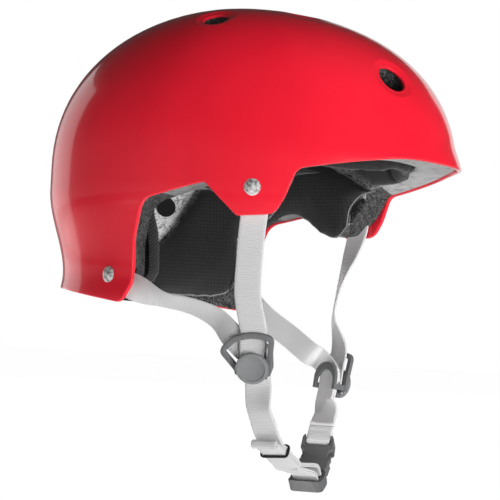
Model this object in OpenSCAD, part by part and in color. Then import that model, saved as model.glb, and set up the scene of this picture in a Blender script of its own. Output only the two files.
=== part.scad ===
// Skate helmet with a moulded shell, a foam liner, fabric pads and a webbing harness.
// Millimetres. The origin is the centre of the head space, on the level of the widest
// section. +Z is up, -Y is the wearer's front and +X is the wearer's left.

/* [Shell] */
// Reach of the shell in front of the head centre, before the brim flares
shell_front = 137; // [131:1:143]
// Reach of the shell behind the head centre
shell_rear = 135; // [129:1:141]
// Half of the shell's greatest width
shell_half_width = 104.5; // [100:0.5:109]
// Height of the crown above the head centre
shell_crown = 104; // [99:1:109]
// Thickness of the moulded shell
shell_wall = 3; // [2.4:0.1:3.4]
// How far the brim flares forward
brim_flare = 4; // [1:0.5:6]
// How far the nape is drawn in under the back of the head
nape_tuck = 12.5; // [9:0.5:14]
// How far each side is drawn in below the ears
side_tuck = 6.5; // [4:0.5:8]

/* [Rim] */
// Height of the brim's edge above the head centre
brim_height = 5; // [3:0.5:7]
// Distance from the head centre forward to the front edge of each strap tab
tab_front = 66; // [63:0.5:69]
// Distance from the head centre forward to the rear corner of each strap tab
tab_rear = 36.5; // [34:0.5:38]
// Depth of each strap tab below the head centre
tab_drop = 34; // [32:0.5:36]
// Height of the ear cut-out's peak, measured down from the head centre
peak_drop = 15.5; // [13:0.5:18]
// Distance from the head centre back to the front edge of the nape skirt
skirt_front = 31; // [29:0.5:34]
// Depth of the nape skirt below the head centre
skirt_drop = 88; // [85:0.5:91]

/* [Vents] */
// Diameter of each vent hole
vent_bore = 15; // [12:0.5:17]
// Diameter of the dished recess round each vent hole
vent_dish = 25; // [20:0.5:27]
// Depth of the dished recess
vent_depth = 1.6; // [0.8:0.1:2]

/* [Liner and pads] */
// Thickness of the foam liner
liner_thick = 22; // [19:0.5:24]
// Thickness of the brow pad at its crown
brow_thick = 9; // [7:0.5:11]
// Thickness of the side pads at their crown
side_thick = 8; // [6:0.5:10]
// Thickness of the nape pad at its crown
nape_thick = 10; // [8:0.5:12]
// Thickness of the crown pad at its middle
crown_thick = 8; // [6:0.5:10]
// Diameter of each hook dot that holds a pad
dot_size = 15; // [11:0.5:17]

/* [Rivets] */
// Diameter of each rivet's domed head
rivet_head = 10.3; // [9:0.1:12]
// Height of each rivet's domed head
rivet_dome = 2.2; // [1.6:0.1:2.6]
// Diameter of each rivet's shank
rivet_shank = 4.6; // [4:0.1:5.2]
// Diameter of the washer behind each strap end
washer_size = 12; // [10:0.5:13]

/* [Harness] */
// Width of the webbing
webbing = 16; // [15:0.25:16.5]
// Thickness of one layer of webbing
web_thick = 1.5; // [1.2:0.1:1.6]
// Diameter of the locking lever's disc on each strap divider
lever_size = 19.5; // [18.5:0.1:21]
// Thickness of the locking lever's disc
lever_thick = 3; // [2.6:0.1:3.6]
// Thickness of the strap divider's plate
divider_thick = 2.6; // [2.2:0.1:2.8]
// Width of the divider's loop bars
divider_bar = 3.2; // [2.8:0.1:3.8]
// Thickness of the rubber keeper ring
keeper_thick = 1.3; // [1:0.1:2]

/* [Buckle] */
// Width of the buckle
buckle_width = 21.5; // [21.2:0.1:23]
// Thickness of the buckle
buckle_thick = 8; // [7.8:0.1:8.6]
// Radius of the buckle's curve, which follows the chin
buckle_curve = 45; // [42:1:60]
// Diameter of the bars that the webbing goes round
buckle_bar = 3.6; // [3.2:0.1:3.8]

/* [Hidden] */

// Clearances
liner_gap = 0.3;
dot_gap = 1;
dot_thick = 0.8;
pad_gap = 2.35;
soft_gap = 0.3;
pin_gap = 0.05;
slide_gap = 0.35;
eps = 0.01;

// Dome: how full each profile is, 2 being an ellipse
front_curve = 2.17;
rear_curve = 2.12;
side_curve = 2.61;
plan_curve = 1.93;
brim_band = 22;
tuck_start = 15;
tuck_height = 55;
skirt_flare = 2;
dome_cols = 48;
ring_step = 9;
low_rings = [13, 27, 41, 55, 70, 78, 96];
liner_inset = shell_wall + liner_gap;
cavity_inset = liner_inset + liner_thick;

rivet_seat = 0.1;
// Vents, each as [sideways, forward or back, share of the bore], and repeated on both sides
vent_places = [[38, -109, 1.22], [67.5, -3, 1.06], [27, -44, 1], [27, 42, 1], [38, 106, 1.1]];
// Rivets, each as [forward or back, height] on the side, and repeated on both sides
side_rivet = [-45.5, -18];
rear_rivet = [51, -71];

function smooth(k) = let (c = min(1, max(0, k))) c * c * (3 - 2 * c);
function unit(v) = v / norm(v);
function mix(a, b, k) = a + (b - a) * k;
function signed_pow(v, p) = sign(v) * pow(abs(v), p);

// Height on the dome: an angle from the crown down to the level of the widest section,
// then a millimetre for each degree past 90
function level(a, inset) = a <= 90 ? (shell_crown - inset) * cos(a) : 90 - a;
function fullness(a, curve) = a >= 90 ? 1 : pow(1 - pow(cos(a), curve), 1 / curve);
function below(z) = smooth((-z - tuck_start) / tuck_height);
function hem_flare(z) = smooth((-z - tuck_start - tuck_height) / 16) * skirt_flare;
function front_at(a, inset, flare) = let (z = level(a, inset))
  (shell_front - inset) * fullness(a, front_curve) - 3 * below(z)
  + flare * smooth((brim_band - z) / brim_band);
function rear_at(a, inset) = let (z = level(a, inset))
  (shell_rear - inset) * fullness(a, rear_curve) - nape_tuck * below(z) + hem_flare(z);
function side_at(a, inset) = let (z = level(a, inset))
  (shell_half_width - inset) * fullness(a, side_curve) - side_tuck * below(z) + hem_flare(z);

// A point of the dome: t turns from the wearer's left, 0, to the back, 90
function dome_point(t, a, inset, flare = brim_flare) =
  let (c = signed_pow(cos(t), 2 / plan_curve), s = signed_pow(sin(t), 2 / plan_curve))
  [side_at(a, inset) * c, (s < 0 ? front_at(a, inset, flare) : rear_at(a, inset)) * s,
   level(a, inset)];

// The angles t and a of a place on the dome, found by halving
function turn_at(y, a, inset, lo = -90, hi = 90, n = 24) = n == 0 ? (lo + hi) / 2 :
  let (m = (lo + hi) / 2) dome_point(m, a, inset, 0).y < y ?
  turn_at(y, a, inset, m, hi, n - 1) : turn_at(y, a, inset, lo, m, n - 1);
function side_spot(y, z, inset) = dome_point(turn_at(y, 90 - z, inset), 90 - z, inset, 0);
function is_inside(x, y, a, inset) =
  pow(x / side_at(a, inset), plan_curve)
  + pow(abs(y) / (y < 0 ? front_at(a, inset, 0) : rear_at(a, inset)), plan_curve) < 1;
function fall_at(x, y, inset, lo = 1, hi = 90, n = 24) = n == 0 ? (lo + hi) / 2 :
  let (m = (lo + hi) / 2) is_inside(x, y, m, inset) ?
  fall_at(x, y, inset, lo, m, n - 1) : fall_at(x, y, inset, m, hi, n - 1);
function top_spot(x, y, inset) = [x, y, level(fall_at(x, y, inset), inset)];
function top_normal(x, y) = let (d = 2)
  unit(cross(top_spot(x + d, y, 0) - top_spot(x - d, y, 0),
    top_spot(x, y + d, 0) - top_spot(x, y - d, 0)));
function side_normal(y, z, inset = 0) = let (d = 2)
  unit(cross(side_spot(y + d, z, inset) - side_spot(y - d, z, inset),
    side_spot(y, z + d, inset) - side_spot(y, z - d, inset)));

// Polygon corners with a fillet radius each
function fillet_arc(a, b, c, r, n) =
  let (u = unit(a - b), v = unit(c - b), half = acos(u * v) / 2,
    mid = b + unit(u + v) * r / sin(half), s = b + u * r / tan(half) - mid,
    e = b + v * r / tan(half) - mid, from = atan2(s.y, s.x),
    turn = (atan2(e.y, e.x) - from + 540) % 360 - 180)
  [for (i = [0 : n]) mid + r * [cos(from + turn * i / n), sin(from + turn * i / n)]];
function filleted(p, n = 5) = let (k = len(p)) [for (i = [0 : k - 1])
  let (a = p[(i + k - 1) % k], b = p[i], c = p[(i + 1) % k])
  each b.z == 0 ? [[b.x, b.y]] : fillet_arc([a.x, a.y], [b.x, b.y], [c.x, c.y], b.z, n)];

// The rim seen from the side: forward, height and fillet radius of each corner
outside = 170;
rim_corners = [[-outside, brim_height - 2.5, 0], [-125, brim_height, 60],
  [-tab_front - 4, -peak_drop + 9.5, 7], [-tab_front + 2, -tab_drop + 11, 30],
  [-tab_front + 8, -tab_drop + 0.5, 9], [-tab_rear, -tab_drop - 1, 2],
  [-tab_rear + 19.5, -peak_drop, 3], [skirt_front - 7, -peak_drop - 10.5, 11],
  [skirt_front, -peak_drop - 34, 30], [skirt_front + 1, -skirt_drop + 12, 12],
  [skirt_front + 8, -skirt_drop, 6], [100, -skirt_drop + 8, 60],
  [outside, -skirt_drop + 13, 0], [outside, outside, 0], [-outside, outside, 0]];

module rim_block(inset = 0) {
  rotate([90, 0, 90]) linear_extrude(2 * outside, center = true)
    offset(delta = -inset) polygon(filleted(rim_corners));
}

// A closed wall between two insets of the dome, open below
module dome_wall(outer, inner, inner_flare) {
  n = dome_cols;
  rings = [for (a = [ring_step : ring_step : 90]) a, for (d = low_rings) 90 + d];
  m = len(rings);
  one = [for (a = rings, i = [0 : n - 1]) dome_point(360 * i / n, a, outer)];
  two = [for (a = rings, i = [0 : n - 1]) dome_point(360 * i / n, a, inner, inner_flare)];
  tops = [[0, 0, shell_crown - outer], [0, 0, shell_crown - inner]];
  k = n * m;
  polyhedron(concat(one, two, tops), concat(
    [for (j = [0 : m - 2], i = [0 : n - 1]) let (p = j * n + i, q = j * n + (i + 1) % n)
      each [[p, q, q + n], [p, q + n, p + n]]],
    [for (j = [0 : m - 2], i = [0 : n - 1]) let (p = k + j * n + i, q = k + j * n + (i + 1) % n)
      each [[p, q + n, q], [p, p + n, q + n]]],
    [for (i = [0 : n - 1]) [2 * k, (i + 1) % n, i]],
    [for (i = [0 : n - 1]) [2 * k + 1, k + i, k + (i + 1) % n]],
    [for (i = [0 : n - 1]) let (p = k - n + i, q = k - n + (i + 1) % n)
      each [[p, q, q + k], [p, q + k, p + k]]]));
}

// Puts its children at a place with +Z along a direction
module aim(place, dir) {
  translate(place) rotate([0, acos(dir.z), atan2(dir.y, dir.x)]) children();
}

module on_both_sides() {
  children();
  mirror([1, 0, 0]) children();
}

module vent_cutters(more, dish) {
  for (v = vent_places)
    aim(top_spot(v.x, v.y, 0), top_normal(v.x, v.y)) {
      bore = vent_bore * v.z;
      rim = vent_dish * v.z;
      cylinder(h = 80, d = bore + more, center = true, $fn = 32);
      if (dish)
        translate([0, 0, -vent_depth])
          cylinder(h = 4 * vent_depth, d1 = bore, d2 = 4 * rim - 3 * bore, $fn = 32);
    }
}

module rivet_holes() {
  for (r = [side_rivet, rear_rivet])
    aim(side_spot(r.x, r.y, 0), side_normal(r.x, r.y)) {
      cylinder(h = 16, d = rivet_shank + 2 * pin_gap, center = true, $fn = 24);
      translate([0, 0, rivet_seat]) cylinder(h = 4, d = rivet_head + 1, $fn = 32);
    }
}

module outer_shell() {
  color("crimson") difference() {
    intersection() {
      dome_wall(0, shell_wall, brim_flare);
      rim_block();
    }
    on_both_sides() {
      vent_cutters(0, true);
      rivet_holes();
    }
  }
}

// Room in the liner for the riveted strap ends, open at the rim
pocket_depth = 5.5;
module strap_pockets() {
  aim(side_spot(side_rivet.x, side_rivet.y, liner_inset), side_normal(side_rivet.x, side_rivet.y))
    translate([-11, -10.5, -pocket_depth]) cube([40, 21, pocket_depth + 4]);
  aim(side_spot(rear_rivet.x, rear_rivet.y, liner_inset), side_normal(rear_rivet.x, rear_rivet.y))
    rotate([0, 0, -66]) translate([-11, -10.5, -pocket_depth - 1.5]) cube([48, 21, pocket_depth + 5.5]);
}

// The rim turned a little on each side, which bevels the liner's forward-facing edges
bevel = 15;
bevel_x = 98;
module bevel_block() {
  on_both_sides() intersection() {
    translate([0, -outside, -outside]) cube(2 * outside);
    translate([bevel_x, 0, 0]) rotate([0, 0, -bevel]) translate([-bevel_x, 0, 0]) rim_block(1);
  }
}

module foam_liner() {
  color("dimgray") difference() {
    intersection() {
      dome_wall(liner_inset, cavity_inset, 0);
      rim_block(1);
      bevel_block();
    }
    on_both_sides() {
      vent_cutters(2, false);
      strap_pockets();
    }
  }
}

// A crowned cushion on the liner's inner face. The outline gives, across it, the turn t
// and the angles a of its upper and lower edge; channels are sewn lines across it.
function crown_of(k, sharp) = 1 - pow(abs(2 * k - 1), sharp);
function channel_of(u, channels) = min([1, for (c = channels) 1 - 0.55 * exp(-pow((u - c) / 0.018, 2))]);
function pad_height(u, v, channels) =
  (0.22 + 0.78 * sqrt(max(0, crown_of(u, 8) * crown_of(v, 5)))) * channel_of(u, channels);
module cushion(turns, top, bottom, thick, channels = [], cols = 26, rows = 10) {
  function place(i, j, front) =
    let (u = i / cols, v = j / rows, t = mix(turns[0], turns[1], u),
      a = mix(lookup(u, top), lookup(u, bottom), v),
      rise = front ? thick * pad_height(u, v, channels) : 0)
    dome_point(t, a, cavity_inset + pad_gap + rise, 0);
  w = rows + 1;
  k = (cols + 1) * w;
  pts = [for (front = [false, true], i = [0 : cols], j = [0 : rows]) place(i, j, front)];
  edge = concat([for (j = [0 : rows]) j], [for (i = [1 : cols]) i * w + rows],
    [for (j = [1 : rows]) cols * w + rows - j], [for (i = [1 : cols - 1]) (cols - i) * w]);
  polyhedron(pts, concat(
    [for (i = [0 : cols - 1], j = [0 : rows - 1]) let (p = i * w + j)
      each [[p, p + w + 1, p + 1], [p, p + w, p + w + 1]]],
    [for (i = [0 : cols - 1], j = [0 : rows - 1]) let (p = k + i * w + j)
      each [[p, p + 1, p + w + 1], [p, p + w + 1, p + w]]],
    [for (i = [0 : len(edge) - 1]) let (p = edge[i], q = edge[(i + 1) % len(edge)])
      each [[p, q, q + k], [p, q + k, p + k]]]));
}

brow_turns = [-138, -42];
module brow_pad() {
  color([0.13, 0.13, 0.14]) cushion(brow_turns, [[0, 68], [0.15, 60], [0.85, 60], [1, 68]],
    [[0, 84], [0.2, 87], [0.8, 87], [1, 84]], brow_thick, [0.25, 0.5, 0.75], 28, 8);
}

nape_turns = [19, 161];
module nape_pad() {
  color([0.13, 0.13, 0.14]) cushion(nape_turns,
    [[0, 104], [0.06, 92], [0.12, 92], [0.16, 104], [0.2, 120], [0.27, 132], [0.4, 135], [0.6, 135],
      [0.73, 132], [0.8, 120], [0.84, 104], [0.88, 92], [0.94, 92], [1, 104]],
    [[0, 158], [0.07, 168.5], [0.93, 168.5], [1, 158]], nape_thick, [], 34, 12);
}

side_turns = [-27, 13];
module side_pad_left() {
  color([0.13, 0.13, 0.14]) cushion(side_turns, [[0, 74], [0.1, 66], [0.9, 66], [1, 74]],
    [[0, 112], [0.12, 121], [0.32, 121], [0.55, 106], [1, 108]], side_thick, [], 16, 12);
}
module side_pad_right() {
  mirror([1, 0, 0]) side_pad_left();
}

crown_reach = 33;
module crown_pad() {
  n = 30;
  rings = 5;
  function rise(j) = crown_thick * sqrt(1 - pow(j / rings, 4)) * (j == 3 ? 0.6 : 1) + 1.5;
  back = [for (j = [1 : rings], i = [0 : n - 1])
    dome_point(360 * i / n, crown_reach * j / rings, cavity_inset + pad_gap, 0)];
  front = [for (j = [1 : rings], i = [0 : n - 1])
    dome_point(360 * i / n, crown_reach * j / rings, cavity_inset + pad_gap + rise(j), 0)];
  k = n * rings;
  tops = [[0, 0, shell_crown - cavity_inset - pad_gap],
    [0, 0, shell_crown - cavity_inset - pad_gap - rise(0)]];
  color([0.13, 0.13, 0.14]) polyhedron(concat(back, front, tops), concat(
    [for (j = [0 : rings - 2], i = [0 : n - 1]) let (p = j * n + i, q = j * n + (i + 1) % n)
      each [[p, q, q + n], [p, q + n, p + n]]],
    [for (j = [0 : rings - 2], i = [0 : n - 1]) let (p = k + j * n + i, q = k + j * n + (i + 1) % n)
      each [[p, q + n, q], [p, p + n, q + n]]],
    [for (i = [0 : n - 1]) [2 * k, (i + 1) % n, i]],
    [for (i = [0 : n - 1]) [2 * k + 1, k + i, k + (i + 1) % n]],
    [for (i = [0 : n - 1]) let (p = k - n + i, q = k - n + (i + 1) % n)
      each [[p, q, q + k], [p, q + k, p + k]]]));
}

// Hook dots, as [turn, a] on the liner's inner face: the bare pair, then those under pads
dot_places = [[58, 107], [40, 135], [-9, 95], [-62, 75]];
module hook_dot(t, a) {
  p = dome_point(t, a, cavity_inset, 0);
  q = unit(cross(dome_point(t, a + 1, cavity_inset, 0) - p, dome_point(t + 1, a, cavity_inset, 0) - p));
  aim(p - q * dot_gap, -q) cylinder(h = dot_thick, d = dot_size, $fn = 24);
}
module hook_dots() {
  color([0.09, 0.09, 0.1]) {
    on_both_sides() for (d = dot_places) hook_dot(d.x, d.y);
    hook_dot(90, 150);
    aim([0, 0, shell_crown - cavity_inset - dot_gap], [0, 0, -1]) cylinder(h = dot_thick, d = dot_size, $fn = 24);
  }
}

// Rivets, drawn along +Z with the shell's outer face at 0
strap_play = 0.8;
strap_inset = shell_wall + strap_play + web_thick / 2;
washer_thick = 1;
washer_z = -shell_wall - strap_play - web_thick - 0.6 - washer_thick;
peen_z = washer_z - pin_gap;
module rivet() {
  translate([0, 0, rivet_seat + pin_gap]) intersection() {
    dome_r = (pow(rivet_head / 2, 2) + pow(rivet_dome, 2)) / (2 * rivet_dome);
    translate([0, 0, rivet_dome - dome_r]) sphere(r = dome_r, $fn = 32);
    cylinder(h = rivet_dome + 1, d = rivet_head, $fn = 32);
  }
  translate([0, 0, peen_z]) cylinder(h = 0.4 - peen_z, d = rivet_shank, $fn = 24);
  translate([0, 0, peen_z - 0.7]) cylinder(h = 0.7, d = rivet_shank + 2.4, $fn = 24);
}

module at_rivet(r) {
  aim(side_spot(r.x, r.y, 0), side_normal(r.x, r.y)) children();
}

module side_rivets() {
  color("silver") on_both_sides() at_rivet(side_rivet) rivet();
}
module rear_rivets() {
  color("silver") on_both_sides() at_rivet(rear_rivet) rivet();
}
module rivet_washers() {
  color("gray") on_both_sides() for (r = [side_rivet, rear_rivet])
    at_rivet(r) translate([0, 0, washer_z]) difference() {
      cylinder(h = washer_thick, d = washer_size, $fn = 32);
      translate([0, 0, -1]) cylinder(h = washer_thick + 2, d = rivet_shank + 2 * pin_gap, $fn = 24);
    }
}

// Webbing: a flat ribbon through stations, each a point and the way its width runs
function catmull(a, b, c, d, k) = 0.5 * (2 * b + (c - a) * k
  + (2 * a - 5 * b + 4 * c - d) * k * k + (3 * b - a - 3 * c + d) * k * k * k);
function curve(p, n) = let (e = len(p) - 1) [for (i = [0 : e - 1], k = [0 : n - 1])
  catmull(p[max(0, i - 1)], p[i], p[i + 1], p[min(e, i + 2)], k / n), p[e]];
module ribbon(stations, thick = web_thick, steps = 3) {
  s = curve(stations, steps);
  e = len(s) - 1;
  function at(i) = [s[i][0], s[i][1], s[i][2]];
  function along(i) = unit(at(min(e, i + 1)) - at(max(0, i - 1)));
  function face(i) = unit(cross(along(i), [s[i][3], s[i][4], s[i][5]]));
  function across(i) = cross(face(i), along(i));
  pts = [for (i = [0 : e]) let (w = across(i) * webbing / 2, h = face(i) * thick / 2)
    each [at(i) - w - h, at(i) + w - h, at(i) + w + h, at(i) - w + h]];
  polyhedron(pts, concat([[0, 1, 2], [0, 2, 3]],
    [for (i = [0 : e - 1], k = [0 : 3]) let (p = 4 * i + k, q = 4 * i + (k + 1) % 4)
      each [[p, p + 4, q + 4], [p, q + 4, q]]],
    [[4 * e, 4 * e + 2, 4 * e + 1], [4 * e, 4 * e + 3, 4 * e + 2]]));
}

// Frames that the harness pieces are drawn in: each divider is turned to face the cheek
// and leans with the strap, its top outwards
divider_right = [28 - shell_half_width, -42.3, -121.4];
divider_left = [shell_half_width - 34.5, -41, -133.6];
turn_right = 13.5;
turn_left = 28;
lean_right = 24;
lean_left = 8;
function turned(v, a) = [v.x * cos(a) - v.y * sin(a), v.x * sin(a) + v.y * cos(a), v.z];
function leaned(v, a) = [v.x * cos(a) + v.z * sin(a), v.y, v.z * cos(a) - v.x * sin(a)];
function way_right(p) = turned(leaned([-p.z, -p.x, p.y], -lean_right), turn_right);
function way_left(p) = turned(leaned([p.z, -p.x, p.y], lean_left), -turn_left);
function on_right(p, w) = concat(divider_right + way_right(p), way_right(w));
function on_left(p, w) = concat(divider_left + way_left(p), way_left(w));
module at_divider_right() {
  translate(divider_right) rotate([0, 0, turn_right]) rotate([0, -lean_right, 0]) rotate([90, 0, -90]) children();
}
module at_divider_left() {
  translate(divider_left) rotate([0, 0, -turn_left]) rotate([0, lean_left, 0])
    mirror([1, 0, 0]) rotate([90, 0, -90]) children();
}

// Layers of webbing inside a divider, measured inwards from the back of its plate
front_layer = -(soft_gap + web_thick / 2);
rear_layer = front_layer - web_thick - soft_gap;
chin_thick = 2 * web_thick - 0.4;
chin_top = rear_layer - web_thick / 2 - soft_gap;
chin_layer = chin_top - chin_thick / 2;
inside_end = -1;
chin_start = 9;
leg_end = -5;

// A station against the shell's inner face, with the webbing running along a direction
function at_wall(y, z, along, side, more = 0) = let (p = side_spot(y, z, strap_inset + more),
  w = unit(cross(side_normal(y, z), along)))
  [side * p.x, p.y, p.z, side * w.x, w.y, w.z];
function from_rivet(r, along, side, shift, more = 0) =
  at_wall(r.x + along.y * shift, r.y + along.z * shift, along, side, more);
down = [0, 0, -1];
forward = [0, -0.927, -0.375];

// A station that hangs free, its first number measured in from the shell's widest point
function off_right(p, w) = concat([p.x - shell_half_width, p.y, p.z], w);
function off_left(p, w) = concat([shell_half_width - p.x, p.y, p.z], w);

module front_strap_right() {
  color("lightgray") difference() {
    ribbon([from_rivet(side_rivet, down, -1, -8.5), from_rivet(side_rivet, down, -1, 0),
      from_rivet(side_rivet, down, -1, 11), off_right([14.5, -43.2, -44], [-0.22, 0.97, 0]),
      off_right([16.1, -41.8, -61], [-0.2, 0.98, 0]), off_right([18.1, -41, -81], [-0.2, 0.98, 0]),
      on_right([0.4, 22, -1.6], [-1, 0, 0]), on_right([0, 12, front_layer], [-1, 0, 0]),
      on_right([0, inside_end, front_layer], [-1, 0, 0])]);
    rivet_holes_right();
  }
}

module rivet_holes_right() {
  mirror([1, 0, 0]) rivet_holes();
}

module front_strap_left() {
  color("lightgray") difference() {
    ribbon([from_rivet(side_rivet, down, 1, -8.5), from_rivet(side_rivet, down, 1, 0),
      from_rivet(side_rivet, down, 1, 11), off_left([15.3, -42.4, -44], [0.5, 0.87, 0]),
      off_left([18.5, -38.6, -59], [0.8, 0.6, 0]), off_left([23, -36, -75], [0.92, 0.39, 0]),
      off_left([27.5, -35.7, -92], [0.9, 0.43, 0]),
      on_left([1, 23, -1.5], [-1, 0, 0.08]), on_left([0.4, 12, front_layer - 0.1], [-1, 0, 0]),
      on_left([0, inside_end, front_layer], [-1, 0, 0])]);
    rivet_holes();
  }
}

module rear_strap_right() {
  color("lightgray") difference() {
    ribbon([from_rivet(rear_rivet, forward, -1, -8.5), from_rivet(rear_rivet, forward, -1, 0),
      from_rivet(rear_rivet, forward, -1, 9.5, 0.5), from_rivet(rear_rivet, forward, -1, 19, 1.9),
      off_right([18.9, 14, -84.8], [0.78, 0.15, -0.58]), off_right([21, -4, -88.4], [0.75, 0.25, -0.6]),
      off_right([23, -19, -94.6], [0.5, 0.5, -0.7]), on_right([-14, 17.5, -4.4], [-0.6, -0.8, 0]),
      on_right([-6.5, 10, rear_layer - 0.05], [-0.72, -0.69, 0]),
      on_right([-1.4, 4.5, rear_layer], [-0.97, -0.25, 0]), on_right([0, inside_end, rear_layer], [-1, 0, 0])]);
    rivet_holes_right();
  }
}

module rear_strap_left() {
  color("lightgray") difference() {
    ribbon([from_rivet(rear_rivet, forward, 1, -8.5), from_rivet(rear_rivet, forward, 1, 0),
      from_rivet(rear_rivet, forward, 1, 9.5, 0.5), from_rivet(rear_rivet, forward, 1, 19, 1.9),
      off_left([24, 16, -91.5], [-0.25, 0.35, -0.9]), off_left([29.5, -5, -104], [-0.2, 0.45, -0.87]),
      off_left([35.1, -22, -114.5], [-0.1, 0.5, -0.84]), on_left([-13, 15, -5.6], [-0.62, -0.78, 0]),
      on_left([-6, 9.4, rear_layer - 0.05], [-0.75, -0.66, 0]),
      on_left([-1.2, 4, rear_layer], [-0.97, -0.25, 0]), on_left([0, inside_end, rear_layer], [-1, 0, 0])]);
    rivet_holes();
  }
}

// Divider, drawn flat: x forward, y up, z outward, with the lever's disc at the origin
lever_lift = divider_thick + 0.4;
hinge_y = -6.6;
hinge_z = 0.9;
hinge_pin = 1.5;
barrel = 3.3;
barrel_length = 11.2;
lug_end = 8.2;
leg_x = webbing / 2 + 0.4;
leg_width = 2.2;
arch_z = chin_top - 2 * web_thick - 2 * soft_gap;
arch_thick = 2.2;
arch_y = 2.2;
divider_outline = [[-20.5, 9.5, 4.5], [-12, 18, 12], [0.5, 22.8, 26], [13.4, 19, 4.5], [11, -1, 8],
  [10.7, -5.2, 1], [lug_end + 0.25, hinge_y + 0.6, 0], [-lug_end - 0.25, hinge_y + 0.6, 0],
  [-10.7, -5.2, 1], [-11, -2.8, 4]];
module divider_frame() {
  lug = lug_end - barrel_length / 2 - slide_gap;
  difference() {
    union() {
      linear_extrude(divider_thick) difference() {
        polygon(filleted(divider_outline));
        difference() {
          offset(delta = -divider_bar) polygon(filleted(divider_outline));
          translate([-30, -30]) square([60, 28.4]);
        }
      }
      for (s = [-1, 1])
        translate([s * (lug_end - lug / 2), hinge_y, hinge_z]) rotate([0, 90, 0])
          cylinder(h = lug, d = barrel, center = true, $fn = 32);
    }
    translate([-barrel_length / 2 - slide_gap, -20, -1])
      cube([barrel_length + 2 * slide_gap, 20 + hinge_y + barrel / 2 + slide_gap, divider_thick + 2]);
    translate([0, hinge_y, hinge_z]) rotate([0, 90, 0])
      cylinder(h = 40, d = hinge_pin + 0.02, center = true, $fn = 24);
  }
  translate([0, 0, arch_z - arch_thick]) linear_extrude(arch_thick) arch_outline();
  translate([0, 0, arch_z - 0.1]) linear_extrude(0.1 - arch_z + eps) intersection() {
    arch_outline();
    translate([-20, leg_end]) square([40, 3.6]);
  }
}

// The arched bar that stands off behind the webbing, on two legs
module arch_outline() {
  difference() {
    union() {
      translate([0, arch_y]) circle(r = leg_x + leg_width, $fn = 64);
      translate([-leg_x - leg_width, leg_end]) square([2 * (leg_x + leg_width), arch_y - leg_end]);
    }
    translate([0, arch_y - 2.8]) circle(r = leg_x, $fn = 64);
    translate([-leg_x, -20]) square([2 * leg_x, 20 + arch_y - 2.8]);
  }
}

module divider_lever() {
  translate([0, 0, lever_lift]) {
    difference() {
      cylinder(h = lever_thick, d = lever_size, $fn = 48);
      translate([0, 0, lever_thick - 0.5]) cylinder(h = 1, d = lever_size - 4, $fn = 48);
    }
  }
  difference() {
    union() {
      translate([0, hinge_y, hinge_z]) rotate([0, 90, 0])
        cylinder(h = barrel_length, d = barrel, center = true, $fn = 32);
      translate([-barrel_length / 2, hinge_y - 0.8, hinge_z])
        cube([barrel_length, 2 * 0.8 + 0.6, lever_lift - hinge_z + eps]);
    }
    translate([0, hinge_y, hinge_z]) rotate([0, 90, 0])
      cylinder(h = 40, d = hinge_pin + 2 * pin_gap, center = true, $fn = 24);
  }
}

module lever_pin() {
  translate([0, hinge_y, hinge_z]) rotate([0, 90, 0])
    cylinder(h = 2 * lug_end - 0.2, d = hinge_pin, center = true, $fn = 24);
}

module divider_frame_right() {
  color([0.5, 0.51, 0.52]) at_divider_right() divider_frame();
}
module divider_frame_left() {
  color([0.5, 0.51, 0.52]) at_divider_left() divider_frame();
}
module divider_lever_right() {
  color([0.52, 0.53, 0.54]) at_divider_right() divider_lever();
}
module divider_lever_left() {
  color([0.52, 0.53, 0.54]) at_divider_left() divider_lever();
}
module lever_pins() {
  color("silver") {
    at_divider_right() lever_pin();
    at_divider_left() lever_pin();
  }
}

// Buckle, drawn along x, which is the way the male half pulls out; z points to the chin
buckle_at = [8.5, -51.2, -188];
buckle_tilt = 46;
buckle_yaw = 7;
function way_buckle(p) = turned([-cos(buckle_tilt) * p.x - sin(buckle_tilt) * p.z, -p.y,
  -sin(buckle_tilt) * p.x + cos(buckle_tilt) * p.z], buckle_yaw);
function on_buckle(x, z) = concat(buckle_at + way_buckle([x, 0, z]), way_buckle([0, -1, 0]));
module at_buckle() {
  translate(buckle_at) rotate([0, 0, buckle_yaw]) rotate([0, buckle_tilt, 180]) children();
}
curve_x = -7;
function curve_z(x) = buckle_curve - sqrt(pow(buckle_curve, 2) - pow(x - curve_x, 2));
half_w = buckle_width / 2;
joint_x = 2.5;
female_end = -24;
male_end = 21.5;
slot_half = webbing / 2 + 0.45;
bar_r = buckle_bar / 2;
female_bar_x = female_end + bar_r;
male_bar_x = 12.1;
mouth_half = half_w - 3.2;
pocket_end = -15.4;
pocket_thick = 4.6;
arm_thick = 3.8;
arm_width = 2.8;
arm_y = mouth_half - 2;
arm_pivot_x = 4.3;
knuckle = 2.8;

module curved_slab(outline) {
  intersection() {
    translate([curve_x, 0, buckle_curve]) rotate([90, 0, 0]) difference() {
      cylinder(h = 60, r = buckle_curve + buckle_thick / 2, center = true, $fn = 180);
      cylinder(h = 62, r = buckle_curve - buckle_thick / 2, center = true, $fn = 180);
    }
    translate([0, 0, -10]) linear_extrude(32) polygon(filleted(outline));
  }
}

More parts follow.
